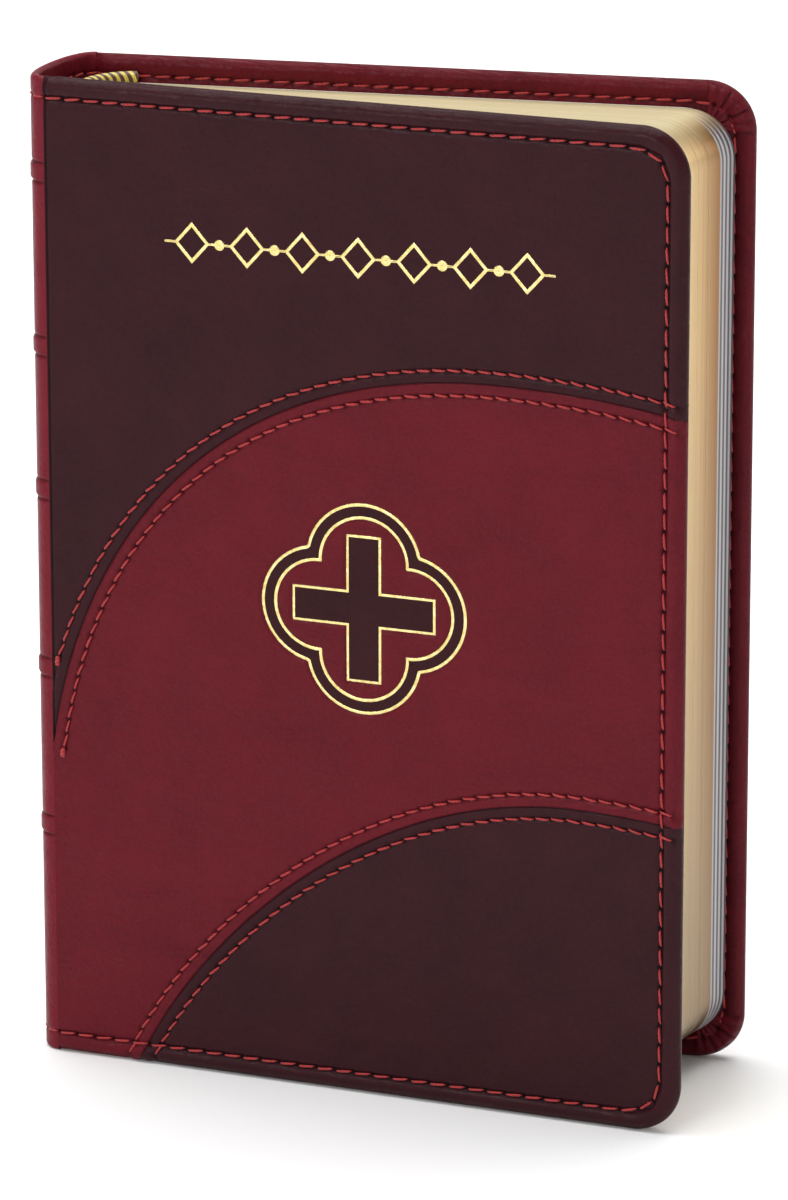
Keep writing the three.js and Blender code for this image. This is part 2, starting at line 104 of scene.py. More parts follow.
UPPER_SEAM = [(0, 58), (5.5, 97), (31.8, 132.2), (84, 132.2), (97, 132.2), (109, 131), (118, 129)]
LOWER_SEAM = [(15.8, 0), (27.7, 26), (60.4, 57.8), (98, 57.8), (105, 57.8), (112, 57.2), (118, 56.5)]
EMBLEM = {"x": 59.4, "z": 89.6, "lobe_at": 8.4, "lobe_r": 10.8, "band": 3.0, "arm": 13.4, "arm_w": 6.6}
ORNAMENT = {"x": 58.6, "z": 152.4, "width": 72, "height": 7.6, "lozenges": 7, "dot_r": 1.05}
FOIL_LINE = 0.72
BAND_Z = (42.7, 72.2, 105.0, 131.1, 162.4)

ROOT, FRONT_LEAVES = "spine_and_rear_leaves", "front_leaves"
FLYLEAF, FRONT_COVER, BACK_COVER = "front_flyleaf_leaf", "front_cover", "back_cover"


# ---- Camera, light and floor
def make_camera():
    """A long lens above and to the right of the front cover."""
    yaw, pitch, roll = (math.radians(a) for a in (21.294, 15.544, -0.088))
    turned = Matrix.Rotation(roll, 3, "Y") @ Matrix.Rotation(pitch, 3, "X") @ Matrix.Rotation(-yaw, 3, "Z")
    right, forward, up = turned
    axes = Matrix((right, up, -forward)).transposed()
    data = bpy.data.cameras.new("camera")
    data.lens = 194.2
    data.sensor_width = 36
    data.shift_y = -0.125
    data.clip_start, data.clip_end = 0.05, 20
    camera = bpy.data.objects.new("camera", data)
    camera.matrix_world = Matrix.Translation(Vector(to_row((454.9, -1000, 417.5)))) @ axes.to_4x4()
    bpy.context.scene.collection.objects.link(camera)
    bpy.context.scene.camera = camera


LIGHT_REACH = 4  # the lamps stand this many metres off, so the floor is lit evenly
LIT_AT = Vector((0, 0, 0.09))  # the middle of the book
FLOOR_REACH = 4  # metres from the book to the floor's sides


def area_light(name, toward, size, power):
    """A soft lamp in the direction `toward`; its size and power are given for one metre off."""
    data = bpy.data.lights.new(name, "AREA")
    data.shape = "RECTANGLE"
    data.size, data.size_y = (LIGHT_REACH * side for side in size)
    data.energy = power * LIGHT_REACH**2
    lamp = bpy.data.objects.new(name, data)
    toward = Vector(toward).normalized()
    lamp.location = LIT_AT + toward * LIGHT_REACH
    lamp.rotation_euler = (-toward).to_track_quat("-Z", "Y").to_euler()
    bpy.context.scene.collection.objects.link(lamp)


def make_studio():
    """Three soft lamps, a sky that darkens upward, and a pale floor."""
    area_light("overhead_softbox", (-0.13, 0.085, 1), (1.28, 0.94), 16.5)
    area_light("front_fill", (-0.22, -0.90, 0.38), (0.42, 0.42), 2.7)
    area_light("rear_card", (0.75, 1.2, 0.41), (0.6, 0.5), 0.8)
    scene = bpy.context.scene
    scene.view_settings.view_transform = "Standard"
    scene.world = bpy.data.worlds.new("studio")
    scene.world.use_nodes = True
    tree = scene.world.node_tree
    up = parts_of(tree, add(tree, "ShaderNodeTexCoord").outputs["Generated"])["Z"]
    set_inputs(tree, tree.nodes["Background"], {"Color": remap(tree, up, 0.16, 0.5, 0.78, 0.30)})
    mesh = bpy.data.meshes.new("floor")
    corners = [(x * FLOOR_REACH, y * FLOOR_REACH, 0) for x, y in ((-1, -1), (1, -1), (1, 1), (-1, 1))]
    mesh.from_pydata(corners, [], [(0, 1, 2, 3)])
    mesh.materials.append(floor_material())
    floor = bpy.data.objects.new("floor", mesh)
    scene.collection.objects.link(floor)


# ---- Materials
def set_inputs(tree, node, inputs):
    """Links each input from a socket, or sets it to a value."""
    for key, value in inputs.items():
        if isinstance(value, bpy.types.NodeSocket):
            tree.links.new(value, node.inputs[key])
        else:
            node.inputs[key].default_value = value


def add(tree, kind, inputs=None, **settings):
    """A new node with its settings and inputs."""
    node = tree.nodes.new(kind)
    for key, value in settings.items():
        setattr(node, key, value)
    set_inputs(tree, node, inputs or {})
    return node


def srgb(red, green, blue):
    """A display colour, 0 to 255, as linear light."""
    parts = [c / 255 for c in (red, green, blue)]
    linear = [c / 12.92 if c <= 0.04045 else ((c + 0.055) / 1.055) ** 2.4 for c in parts]
    return (*linear, 1)


def new_material(name):
    material = bpy.data.materials.new(name)
    material.use_nodes = True
    return material, material.node_tree


def with_looks(material, looks):
    """The material, once its shader's inputs are linked or set."""
    tree = material.node_tree
    set_inputs(tree, tree.nodes["Principled BSDF"], looks)
    return material


def stored(tree, name, kind="Fac"):
    """A value kept at each point of the mesh."""
    return add(tree, "ShaderNodeAttribute", attribute_name=name).outputs[kind]


def drawn_place(tree, on_cad=False):
    """The point's place in millimetres: stored on new pieces, taken from the object on CAD nodes."""
    if not on_cad:
        return stored(tree, "drawn", "Vector")
    where = add(tree, "ShaderNodeTexCoord").outputs["Object"]
    return add(tree, "ShaderNodeMapping", {"Vector": where, "Scale": (1000, 1000, 1000)}).outputs[0]


def parts_of(tree, vector):
    return add(tree, "ShaderNodeSeparateXYZ", {"Vector": vector}).outputs


def noise(tree, place, scale, detail=3, roughness=0.55, distortion=0.0):
    inputs = {"Vector": place, "Scale": scale, "Detail": detail, "Roughness": roughness}
    return add(tree, "ShaderNodeTexNoise", inputs | {"Distortion": distortion}).outputs["Fac"]


def math_node(tree, operation, a, b=0.0, c=0.0):
    return add(tree, "ShaderNodeMath", {0: a, 1: b, 2: c}, operation=operation).outputs[0]


def times(tree, a, b, more=0.0):
    """a times b, plus `more`."""
    return math_node(tree, "MULTIPLY_ADD", a, b, more)


def remap(tree, value, low, high, to_low=0.0, to_high=1.0):
    inputs = {"Value": value, "From Min": low, "From Max": high, "To Min": to_low, "To Max": to_high}
    return add(tree, "ShaderNodeMapRange", inputs).outputs["Result"]


MIX_SHARE, MIX_FIRST, MIX_SECOND, MIXED = 0, 6, 7, 2  # the mix node's colour sockets


def mix(tree, share, first, second):
    inputs = {MIX_SHARE: share, MIX_FIRST: first, MIX_SECOND: second}
    return add(tree, "ShaderNodeMix", inputs, data_type="RGBA").outputs[MIXED]


def shade(tree, value, low, high, first, second):
    """The first display colour where `value` is `low`, running to the second where it is `high`."""
    return mix(tree, remap(tree, value, low, high), srgb(*first), srgb(*second))


def bump(tree, height, distance, below=None):
    """Bump whose height is in millimetres times `distance`."""
    inputs = {"Height": height, "Distance": distance * MM}
    if below:
        inputs["Normal"] = below
    return add(tree, "ShaderNodeBump", inputs).outputs["Normal"]


def leather_material(name, deep, light, creases, roughness):
    """Smooth dyed leather: soft mottling, fine grain, long faint creases, and painted shade in holes,
    grooves and folds.
    """
    material, tree = new_material(name)
    place = drawn_place(tree)
    deep, light = srgb(*deep), srgb(*light)
    cloudy = noise(tree, place, 0.07, 5, 0.6)
    speckle = noise(tree, place, 1.7, 4, 0.65)
    tone = times(tree, speckle, 0.62, times(tree, cloudy, 0.45))
    color = mix(tree, remap(tree, tone, 0.34, 0.72), deep, light)
    flecks = remap(tree, noise(tree, place, 3.1, 2), 0.70, 0.80)
    color = mix(tree, times(tree, flecks, 0.30), color, tuple(min(1, 2.6 * c) for c in light))
    # Painted shade: the colour runs nearly to black where the stored shade value is high, in needle holes,
    # seam and lap grooves, pleat folds and the turn-in beside the fore-edge.
    painted_shade = stored(tree, "painted_shade")
    color = mix(tree, painted_shade, color, tuple(0.12 * c for c in deep[:3]) + (1,))

    cells = add(tree, "ShaderNodeTexVoronoi", {"Vector": place, "Scale": 1.5}, feature="SMOOTH_F1")
    grain = times(tree, noise(tree, place, 4.2, 3), 0.6, cells.outputs["Distance"])
    drawn_out = {"Vector": place, "Scale": (0.05, 1, 0.16), "Rotation": (0, 0.5, 0)}
    lines = noise(tree, add(tree, "ShaderNodeMapping", drawn_out).outputs[0], 1.0, 6, 0.7, 1.6)
    ridge = math_node(tree, "ABSOLUTE", math_node(tree, "SUBTRACT", lines, 0.5))
    normal = bump(tree, grain, 0.032)
    normal = bump(tree, remap(tree, ridge, 0.0, 0.035, 1.0, 0.0), -0.03 * creases, normal)
    normal = bump(tree, noise(tree, place, 0.16, 3), 0.5, normal)
    shine = remap(tree, tone, 0.3, 0.75, roughness + 0.07, roughness - 0.06)
    looks = {"Base Color": color, "Normal": normal, "Roughness": times(tree, painted_shade, 0.4, shine)}
    return with_looks(material, looks | {"Specular IOR Level": 0.10})


def thread_material():
    """Waxed red thread: fibres wound at a slant, with painted shade in the grooves between them."""
    material, tree = new_material("waxed_red_thread")
    fuzz = noise(tree, drawn_place(tree), 7.0, 3, 0.7)
    # Painted shade: the thread is darker where the ply value is low, between the plies.
    tone = times(tree, fuzz, 0.5, times(tree, stored(tree, "ply"), 0.55))
    color = shade(tree, tone, 0.15, 0.8, (104, 8, 13), (186, 31, 32))
    looks = {"Base Color": color, "Normal": bump(tree, fuzz, 0.05), "Roughness": 0.55}
    return with_looks(material, looks | {"Sheen Weight": 0.25, "Sheen Roughness": 0.4})


def foil_material():
    """Hot-stamped gold foil, with the leather's grain pressed through it."""
    material, tree = new_material("stamped_gold_foil")
    place = drawn_place(tree)
    patch = noise(tree, place, 0.9, 4)
    color = shade(tree, patch, 0.3, 0.7, (214, 190, 112), (246, 230, 168))
    looks = {"Base Color": color, "Metallic": 1.0, "Roughness": remap(tree, patch, 0.3, 0.7, 0.34, 0.2)}
    return with_looks(material, looks | {"Normal": bump(tree, noise(tree, place, 2.6, 4), 0.10)})


GREY_FROM = 0.86  # past this share of the leaves the gilt edge turns grey and white in lines, with little metal
GREY_LINES = 29  # grey lines over the whole thickness of the block
PAGE_COLOR = (228, 221, 205)


def gilt_material():
    """Gilded leaf edges: satin gold with a line for each leaf, painted paler at the head as a reflection of
    the overhead light, painted shade toward the back, and grey and white lines at the very back.
    """
    material, tree = new_material("gilt_leaf_edges")
    share, page = stored(tree, "share"), stored(tree, "page")
    up = parts_of(tree, drawn_place(tree))["Z"]
    deep = times(tree, share, 260.0)
    along = add(tree, "ShaderNodeCombineXYZ", {"X": 0.37, "Y": deep, "Z": 0.61}).outputs[0]
    leaves = noise(tree, along, 1.0, 1, 0.5)
    gold = shade(tree, leaves, 0.25, 0.75, (214, 178, 116), (238, 210, 152))
    at_head = remap(tree, up, LEAF_HEAD - 4.0, LEAF_HEAD - 0.4)
    below = math_node(tree, "SUBTRACT", 1.0, at_head)
    # Painted reflection: the head is painted a paler, greyer gold, standing in for the white overhead light
    # it reflects.
    head = shade(tree, leaves, 0.25, 0.75, (172, 162, 128), (198, 189, 160))
    gold = mix(tree, times(tree, at_head, 0.8), gold, head)
    # Painted shade: the fore-edge runs to brown toward the back of the block, below the head.
    rear_painted_shade = times(tree, remap(tree, share, 0.45, 0.84, 0.0, 0.85), below)
    gold = mix(tree, rear_painted_shade, gold, srgb(132, 84, 46))
    # Darker grey-brown toward the tail and the back of the block.
    toward_tail = remap(tree, up, 0.75 * COVER_H, 0.15 * COVER_H, 0.0, 0.75)
    toward_tail_and_back = times(tree, toward_tail, remap(tree, share, 0.2, 0.6))
    gold = mix(tree, toward_tail_and_back, gold, srgb(138, 120, 96))
    # Past this share the edge is grey and white in lines, with less metal.
    edge_change = times(tree, remap(tree, share, GREY_FROM, GREY_FROM + 0.012), below)
    lines = math_node(tree, "SINE", times(tree, share, 2 * math.pi * GREY_LINES))
    gold = mix(tree, edge_change, gold, shade(tree, lines, -0.6, 0.6, (90, 84, 90), (186, 184, 184)))
    plain = math_node(tree, "MAXIMUM", page, times(tree, edge_change, 0.75))
    plain = math_node(tree, "MAXIMUM", plain, times(tree, at_head, 0.45))
    satin = times(tree, at_head, 0.28, 0.3)
    looks = {
        "Base Color": mix(tree, page, gold, srgb(*PAGE_COLOR)),
        "Metallic": times(tree, plain, -0.92, 0.92),
        "Roughness": math_node(tree, "MAXIMUM", satin, times(tree, page, 0.85)),
        "Normal": bump(tree, leaves, 0.014),
    }
    return with_looks(material, looks)


def paper_material(name, on_cad=False, tint=PAGE_COLOR):
    """Matt paper with fine fibres, yellowed in soft patches."""
    material, tree = new_material(name)
    place = drawn_place(tree, on_cad)
    fibre = noise(tree, place, 2.4, 5, 0.7)
    age = noise(tree, place, 0.05, 3)
    base = srgb(*tint)
    color = mix(tree, remap(tree, fibre, 0.3, 0.7), tuple(0.86 * c for c in base[:3]) + (1,), base)
    color = mix(tree, remap(tree, age, 0.4, 0.7, 0.0, 0.22), color, srgb(205, 190, 160))
    looks = {"Base Color": color, "Normal": bump(tree, fibre, 0.03), "Roughness": 0.82}
    return with_looks(material, looks | {"Specular IOR Level": 0.3})


WEAVE_PITCH = 0.55


def cloth_material():
    """Plain-woven cotton of the tapes and mull."""
    material, tree = new_material("woven_cotton")
    place = parts_of(tree, drawn_place(tree, True))
    threads = [
        math_node(tree, "SINE", times(tree, place[axis], 2 * math.pi / WEAVE_PITCH)) for axis in ("Y", "Z")
    ]
    weave = times(tree, *threads)
    color = shade(tree, weave, -1, 1, (176, 168, 150), (226, 220, 204))
    return with_looks(material, {"Base Color": color, "Normal": bump(tree, weave, 0.06), "Roughness": 0.92})


def silk_material():
    """Yellow and brown silk wound over the band's core, in slanted stripes."""
    material, tree = new_material("striped_silk")
    strand = noise(tree, drawn_place(tree), 5.0, 3)
    stripe = math_node(tree, "FRACT", math_node(tree, "DIVIDE", stored(tree, "wound"), 1.6))
    yellow = shade(tree, strand, 0.3, 0.7, (176, 150, 44), (232, 214, 104))
    dark = shade(tree, strand, 0.3, 0.7, (46, 18, 14), (92, 48, 34))
    color = mix(tree, remap(tree, stripe, 0.46, 0.50), yellow, dark)
    looks = {"Base Color": color, "Normal": bump(tree, strand, 0.05), "Roughness": 0.45}
    return with_looks(material, looks | {"Sheen Weight": 0.3})


def floor_material():
    material, tree = new_material("pale_floor")
    tone = noise(tree, add(tree, "ShaderNodeTexCoord").outputs["Object"], 3.0, 2)
    color = mix(tree, tone, (0.90, 0.90, 0.90, 1), (0.93, 0.93, 0.93, 1))
    return with_looks(material, {"Base Color": color, "Roughness": 0.8, "Specular IOR Level": 0.1})


MATERIALS = {
    "dark_leather": leather_material("dark_brown_leather", (39, 13, 18), (55, 20, 26), 0.35, 0.28),
    "burgundy_leather": leather_material("burgundy_leather", (80, 13, 23), (101, 20, 32), 1.0, 0.32),
    "spine_leather": leather_material("spine_leather", (94, 18, 30), (114, 28, 40), 0.5, 0.34),
    "brown_foil": leather_material("brown_foil", (40, 12, 16), (54, 20, 24), 0.3, 0.30),
    "gold_foil": foil_material(),
    "red_thread": thread_material(),
    "gilt_leaves": gilt_material(),
    "paper": paper_material("endpaper"),
    "silk_band": silk_material(),
}


# ---- Mesh helpers
def make_piece(name, points, faces, slot, node=None, values=None, weld=True):
    """A smooth piece in a material slot, drawn in millimetres, that may stand in for a CAD node.

    `values` are numbers kept at each point.
    """
    mesh = bpy.data.meshes.new(name)
    points = np.asarray(points, float)
    mesh.from_pydata(to_row(points).tolist(), [], [tuple(int(i) for i in face) for face in faces])
    drawn = mesh.attributes.new("drawn", "FLOAT_VECTOR", "POINT")
    drawn.data.foreach_set("vector", points.astype(np.float32).ravel())
    for key, column in (values or {}).items():
        layer = mesh.attributes.new(key, "FLOAT", "POINT")
        layer.data.foreach_set("value", np.asarray(column, np.float32))
    if weld:
        cleaner = new_bmesh()
        cleaner.from_mesh(mesh)
        remove_doubles(cleaner, verts=cleaner.verts, dist=2e-6)
        recalc_face_normals(cleaner, faces=cleaner.faces)
        cleaner.to_mesh(mesh)
        cleaner.free()
    mesh.polygons.foreach_set("use_smooth", [True] * len(mesh.polygons))
    mesh.materials.append(MATERIALS[slot])
    piece = bpy.data.objects.new(name, mesh)
    bpy.context.scene.collection.objects.link(piece)
    if node:
        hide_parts(node)
    return piece


def grid_faces(rows, columns, loop=False):
    """Quads over points listed row by row; `loop` joins each row's last point to its first."""
    across = columns if loop else columns - 1
    i, j = np.meshgrid(np.arange(rows - 1), np.arange(across), indexing="ij")
    k = (j + 1) % columns
    quads = np.stack([i * columns + j, i * columns + k, (i + 1) * columns + k, (i + 1) * columns + j], -1)
    return quads.reshape(-1, 4).tolist()


def end_caps(around, total):
    """Faces that close the first and last ring of a tube of `total` points."""
    return [list(range(around))[::-1], list(range(total - around, total))]


def along_bezier(control, step):
    """Points about `step` apart along joined cubic Bezier pieces."""
    control = np.array(control, float)
    t = np.linspace(0, 1, 401)[:, None]
    runs = []
    for k in range(0, len(control) - 3, 3):
        a, b, c, d = control[k : k + 4]
        runs.append((1 - t) ** 3 * a + 3 * t * (1 - t) ** 2 * b + 3 * t**2 * (1 - t) * c + t**3 * d)
    return resample(np.concatenate(runs), step)


def lengths(line):
    """Length of each straight step of a line."""
    return np.linalg.norm(np.diff(line, axis=0), axis=1)


def resample(line, step=None, count=None):
    """The same line with evenly spaced points."""
    line = np.asarray(line, float)
    line = line[np.concatenate([[True], lengths(line) > 1e-9])]
    length = np.concatenate([[0], np.cumsum(lengths(line))])
    count = count or max(2, round(length[-1] / step) + 1)
    at = np.linspace(0, length[-1], count)
    return np.stack([np.interp(at, length, line[:, k]) for k in range(line.shape[1])], -1)


def normals_2d(line, closed=False):
    """Unit normals to the left of a line, mitred where it turns."""
    line = np.asarray(line, float)
    if closed:
        before, after = line - np.roll(line, 1, 0), np.roll(line, -1, 0) - line
    else:
        steps = np.diff(line, axis=0)
        before, after = np.vstack([steps[:1], steps]), np.vstack([steps, steps[-1:]])
    left = [np.stack([-s[:, 1], s[:, 0]], -1) / np.linalg.norm(s, axis=1)[:, None] for s in (before, after)]
    total = left[0] + left[1]
    return total / np.maximum((total * left[0]).sum(1), 0.2)[:, None]


def offset(line, distance, closed=False):
    return np.asarray(line, float) + distance * normals_2d(line, closed)


ROUGH_SKIP = 10  # far points are measured to every tenth point of a line
NEAR_LINE = 4.5
FAR = 9.0  # stands for the distance of points too far from a row of stitches to feel it


def signed_distance(points, line, closed=False):
    """Distance from each point to a line, above zero on its left, exact only near the line."""
    points, line = np.asarray(points, float), np.asarray(line, float)
    if len(line) <= 12 * ROUGH_SKIP:
        return exact_distance(points, line, closed)
    rough = line[::ROUGH_SKIP] if closed else np.vstack([line[::ROUGH_SKIP], line[-1:]])
    distance = signed_distance(points, rough, closed)
    near = np.flatnonzero(np.abs(distance) < NEAR_LINE)
    distance[near] = exact_distance(points[near], line, closed)
    return distance


def exact_distance(points, line, closed):
    start, stop = (line, np.roll(line, -1, 0)) if closed else (line[:-1], line[1:])
    run = stop - start
    best, side = np.full(len(points), np.inf), np.ones(len(points))
    batch = 4000
    for low in range(0, len(points), batch):
        gap = points[low : low + batch, None] - start[None]
        t = np.clip((gap * run).sum(-1) / (run**2).sum(-1), 0, 1)
        length = np.linalg.norm(gap - t[..., None] * run, axis=-1)
        nearest = length.argmin(1)
        rows = np.arange(len(gap))
        cross = run[nearest, 0] * gap[rows, nearest, 1] - run[nearest, 1] * gap[rows, nearest, 0]
        best[low : low + batch] = length[rows, nearest]
        side[low : low + batch] = np.sign(cross) + (cross == 0)
    return best * side


def bell(x, width):
    """1 at zero, falling away on both sides."""
    return np.exp(-((x / width) ** 2))


def smooth(x):
    """From 0 to 1 as x goes from 0 to 1, level at both ends."""
    x = np.clip(x, 0, 1)
    return x * x * (3 - 2 * x)


# ---- Cover leather
COARSE, FINE = 0.8, 0.36  # spacing of points along the cover's outline


def ring_counts(step):
    """How many steps make a cover's tail or head, its fore-edge, and one corner."""
    bend = max(6, round(CORNER_R * math.pi / 2 / min(step, 0.4)))
    return round((COVER_W - CORNER_R) / step), round((COVER_H - 2 * CORNER_R) / step), bend


def quarter_circle(x, z, r, count, way, to_end=True):
    """A quarter circle round (x, z): from the tail to the fore-edge, or on to the head if `way` is 1."""
    angle = np.linspace(0, math.pi / 2, count, endpoint=to_end)
    sine, cosine = r * np.sin(angle), r * np.cos(angle)
    return np.stack([x + cosine, z + sine] if way > 0 else [x + sine, z - cosine], -1)


def cover_ring(inset, step):
    """The cover's outline (X, Z), inset, from the tail of the joint round to its head."""
    straight, upright, bend = ring_counts(step)
    r = max(CORNER_R - inset, 1.5)
    cx, low, high = COVER_W - inset - r, inset + r, COVER_H - inset - r
    lower, upper = (quarter_circle(cx, z, r, bend, way, False) for z, way in ((low, -1), (high, 1)))
    tail = [(x, inset) for x in np.linspace(0, cx, straight, endpoint=False)]
    side = [(cx + r, z) for z in np.linspace(low, high, upright, endpoint=False)]
    head = [(x, COVER_H - inset) for x in np.linspace(cx, 0, straight + 1)]
    return np.concatenate([tail, lower, side, upper, head])


def cover_inset(points):
    """How far in from the head, fore-edge or tail outline each point (X, Z) lies."""
    points = np.asarray(points, float)
    x, z = points[:, 0], points[:, 1]
    qx = x - (COVER_W - CORNER_R)
    qz = np.maximum(CORNER_R - z, z - (COVER_H - CORNER_R))
    outside = np.hypot(np.maximum(qx, 0), np.maximum(qz, 0))
    return CORNER_R - outside - np.minimum(np.maximum(qx, qz), 0)


def stitch_line():
    """Edge stitching (X, Z), with a small slanted step at each corner."""
    corner, cut = 5.2, 1.4
    x = COVER_W - STITCH_IN
    tail = [(0, STITCH_IN), (x - corner, STITCH_IN), (x - cut, STITCH_IN + cut), (x, STITCH_IN + corner)]
    return tail + [(a, COVER_H - b) for a, b in tail[::-1]]


def stitch_places(line, pitch):
    """Where the needle went in: evenly spaced points, about a pitch apart."""
    step = 0.1
    line = resample(line, step)
    return resample(line, count=round(step * (len(line) - 1) / pitch) + 1)


EDGE_PITCH, SEAM_PITCH = 3.58, 2.8
EDGE_LINE = resample(stitch_line(), 0.4)
EDGE_HOLES = stitch_places(stitch_line(), EDGE_PITCH)
UPPER, LOWER = along_bezier(UPPER_SEAM, 0.4), along_bezier(LOWER_SEAM, 0.4)


def seam_rows():
    """The four rows of seam stitching, from the joint or tail to the fore-edge."""
    rows = {}
    for name, seam in (("upper", UPPER), ("lower", LOWER)):
        for side, shift in (("outer", SEAM_ROW), ("inner", -SEAM_ROW)):
            row = offset(seam, shift)
            keep = (row[:, 0] > 1.4) & (cover_inset(row) > 1.2)
            rows[f"{name}_seam_stitch_{side}"] = row[keep]
    return rows


def rolled_edge(inset):
    """Depth below the face of the folded leather edge, down to the middle of the cover's thickness."""
    turn = np.clip(1 - inset / ROLL_W, 0, 1)
    return COVER_T / 2 * (1 - np.sqrt(np.maximum(1 - turn**2, 0)))


def margin_swell(inset):
    """From 0 to 1 and back over the padded margin outside the edge stitching."""
    return np.sin(math.pi * np.clip((inset - 0.5) / 2.9, 0, 1))


def padded_edge(inset):
    """Height of the padded margin, and of the face beyond it."""
    return 0.36 * margin_swell(inset) - rolled_edge(inset) + FACE_RISE * smooth((inset - 3.6) / 2.4)


def stitched_groove(points, near, holes, deep, width=0.42):
    """Depth pulled down by a row of stitches `near` away, deepest in its holes, and the painted shade in its
    holes.
    """
    depth = deep * bell(near, width)
    painted_shade = np.zeros(len(points))
    close = np.flatnonzero(near < 1.2)
    if len(close):
        gaps = np.linalg.norm(points[close][:, None] - holes[None], axis=-1).min(1)
        depth[close] += 0.32 * bell(gaps, 0.42)
        # Painted shade in and round each needle hole.
        painted_shade[close] = bell(gaps, 0.46)
    return depth, painted_shade


def edge_groove(points, inset, deep):
    """The groove of the edge stitching at points (X, Z) this far in from the outline."""
    near = np.full(len(points), FAR)
    beside = np.broadcast_to(inset, len(points)) < 7
    near[beside] = np.abs(signed_distance(points[beside], EDGE_LINE))
    return stitched_groove(points, near, EDGE_HOLES, deep)


def seam_height(s):
    """Across a seam, above zero on the dark side: two folded edges, pressed flat and stitched down."""
    padded = 0.20 * np.sin(math.pi * np.clip(np.abs(s) / SEAM_ROW, 0, 1)) ** 0.8
    ridge = 0.14 * bell(s + 0.24, 0.15) + 0.07 * bell(s - 0.35, 0.15)
    return padded + ridge - 0.16 * bell(s, 0.10)


def face_points(guides):
    """Points (X, Z) for a cover's outer face: outline rings, lines beside each guide, and a fill."""
    coarse = (0, 0.08, 0.22, 0.42, 0.7, 1.0, 1.35, 1.75, 2.2, 2.6, 4.8, 5.6)
    fine = (2.95, 3.2, 3.42, 3.6, 3.78, 4.0, 4.3)
    rings = [cover_ring(inset, COARSE) for inset in coarse] + [cover_ring(inset, FINE) for inset in fine]
    rings = np.concatenate(rings)
    pitch = 1.5
    columns, rows = np.meshgrid(np.arange(0, COVER_W, pitch), np.arange(0, COVER_H, pitch * 0.866))
    columns = columns + (np.arange(rows.shape[0]) % 2)[:, None] * pitch / 2
    fill = np.stack([columns.ravel(), rows.ravel()], -1)
    fill = fill[(cover_inset(fill) > 6.2) & (fill[:, 0] > 5)]
    chosen = []
    for line, shifts, reach, closed in guides:
        away = np.abs(signed_distance(rings, line, closed))
        rings = rings[(away > reach) | (cover_inset(rings) < 1.6)]
        fill = fill[np.abs(signed_distance(fill, line, closed)) > reach + 0.4]
        lines = np.concatenate([offset(line, shift, closed) for shift in shifts])
        chosen.append(lines[(cover_inset(lines) > 1.62) & (lines[:, 0] > 0.02)])
    joint = np.stack([np.zeros(360), np.linspace(0.4, COVER_H - 0.4, 360)], -1)
    chosen += [joint + (x, 0) for x in (0, 0.12, 0.3, 0.45, 0.7, 1.2, 2.0, 3.0, 4.2)]
    points = np.concatenate([rings, *chosen, fill])
    return points[cover_inset(points) > -1e-6]


def triangulate(points):
    """Delaunay triangles over points (X, Z), with near doubles merged."""
    flat = [Vector((float(x), float(z))) for x, z in points]
    made, _, faces = delaunay_2d_cdt(flat, [], [], 0, 0.02)[:3]
    return np.array([(p.x, p.y) for p in made]), np.array([tuple(face) for face in faces])


PLEATS = 6  # folds gathered into each turned-in corner
TURN_IN_ROWS = (0, 0.08, 0.22, 0.42, 0.7, 1.0, 1.35, 1.75, 2.4, 3.0, 3.3, 3.6, 3.9, 4.3, 5.2, 6.6, 8.4)
TURN_IN_ROWS += (10.2, 12, 12.7, 12.95, TURN_IN_W, TURN_IN_W)


def thinning(x):
    """How far the turn-in is pressed thinner beside the joint, at X."""
    return (COVER_T - TURN_IN_DEPTH) * (1 - smooth(x / 2.4))


def turned_in_points():
    """The leather turned in over the board: points (X, depth, Z), painted shade, and the points in a row."""
    straight, upright, bend = ring_counts(COARSE)
    turn = np.full(2 * (straight + bend) + upright + 1, -1.0)
    for start in (straight, straight + bend + upright):
        turn[start : start + bend] = np.linspace(0, 1, bend)
    pleat = np.abs(np.sin(turn * math.pi * PLEATS))
    fade = np.sin(np.clip(turn, 0, 1) * math.pi) ** 0.3
    folds = np.where(turn >= 0, 0.62 * pleat**0.6 * fade, 0)
    pinch = np.where(turn >= 0, 1 - pleat**0.35, 0)
    rows, painted_shades = [], []
    for inset in TURN_IN_ROWS:
        ring = cover_ring(inset, COARSE)
        x = ring[:, 0]
        reach = smooth(inset / 1.1) * (1 - smooth((inset - 6.0) / 5))
        groove, painted_shade = edge_groove(ring, inset, 0.22)
        depth = COVER_T - rolled_edge(inset) + 0.10 * margin_swell(inset) + folds * reach - groove
        depth = depth - thinning(x) * smooth((depth - COVER_T / 2) / (COVER_T / 2))
        rows.append(np.stack([x, depth, ring[:, 1]], -1))
        # Painted shade: the folds of the corner pleats and the turn-in beside the fore-edge are painted
        # darker.
        beside = smooth((x - COVER_W + TURN_IN_W + 2) / 3) * (turn < 0) * smooth(inset / 2 - 0.4)
        painted_shades.append(np.maximum(np.maximum(painted_shade, 0.5 * pinch * reach), 0.45 * beside))
    rows[-1][:, 1] = WINDOW_DEPTH - 0.1
    return np.concatenate(rows), np.concatenate(painted_shades), len(turn)


def cover_skin(guides, relief):
    """Columns X, depth, Z, painted shade for a whole cover's leather, and its triangles."""
    flat, triangles = triangulate(face_points(guides))
    inset = cover_inset(flat)
    groove, holes = edge_groove(flat, inset, 0.34)
    more_height, more_painted_shade = relief(flat)
    raised = padded_edge(inset) - groove + more_height
    face = np.stack([flat[:, 0], -raised, flat[:, 1], np.clip(np.maximum(holes, more_painted_shade), 0, 1)], -1)
    inner, inner_painted_shade, columns = turned_in_points()
    quads = np.array(grid_faces(len(TURN_IN_ROWS), columns))
    inner_triangles = np.concatenate([quads[:, (0, 1, 2)], quads[:, (0, 2, 3)]])
    table = np.concatenate([face, np.column_stack([inner, inner_painted_shade])])
    return table, np.concatenate([triangles, inner_triangles + len(face)])


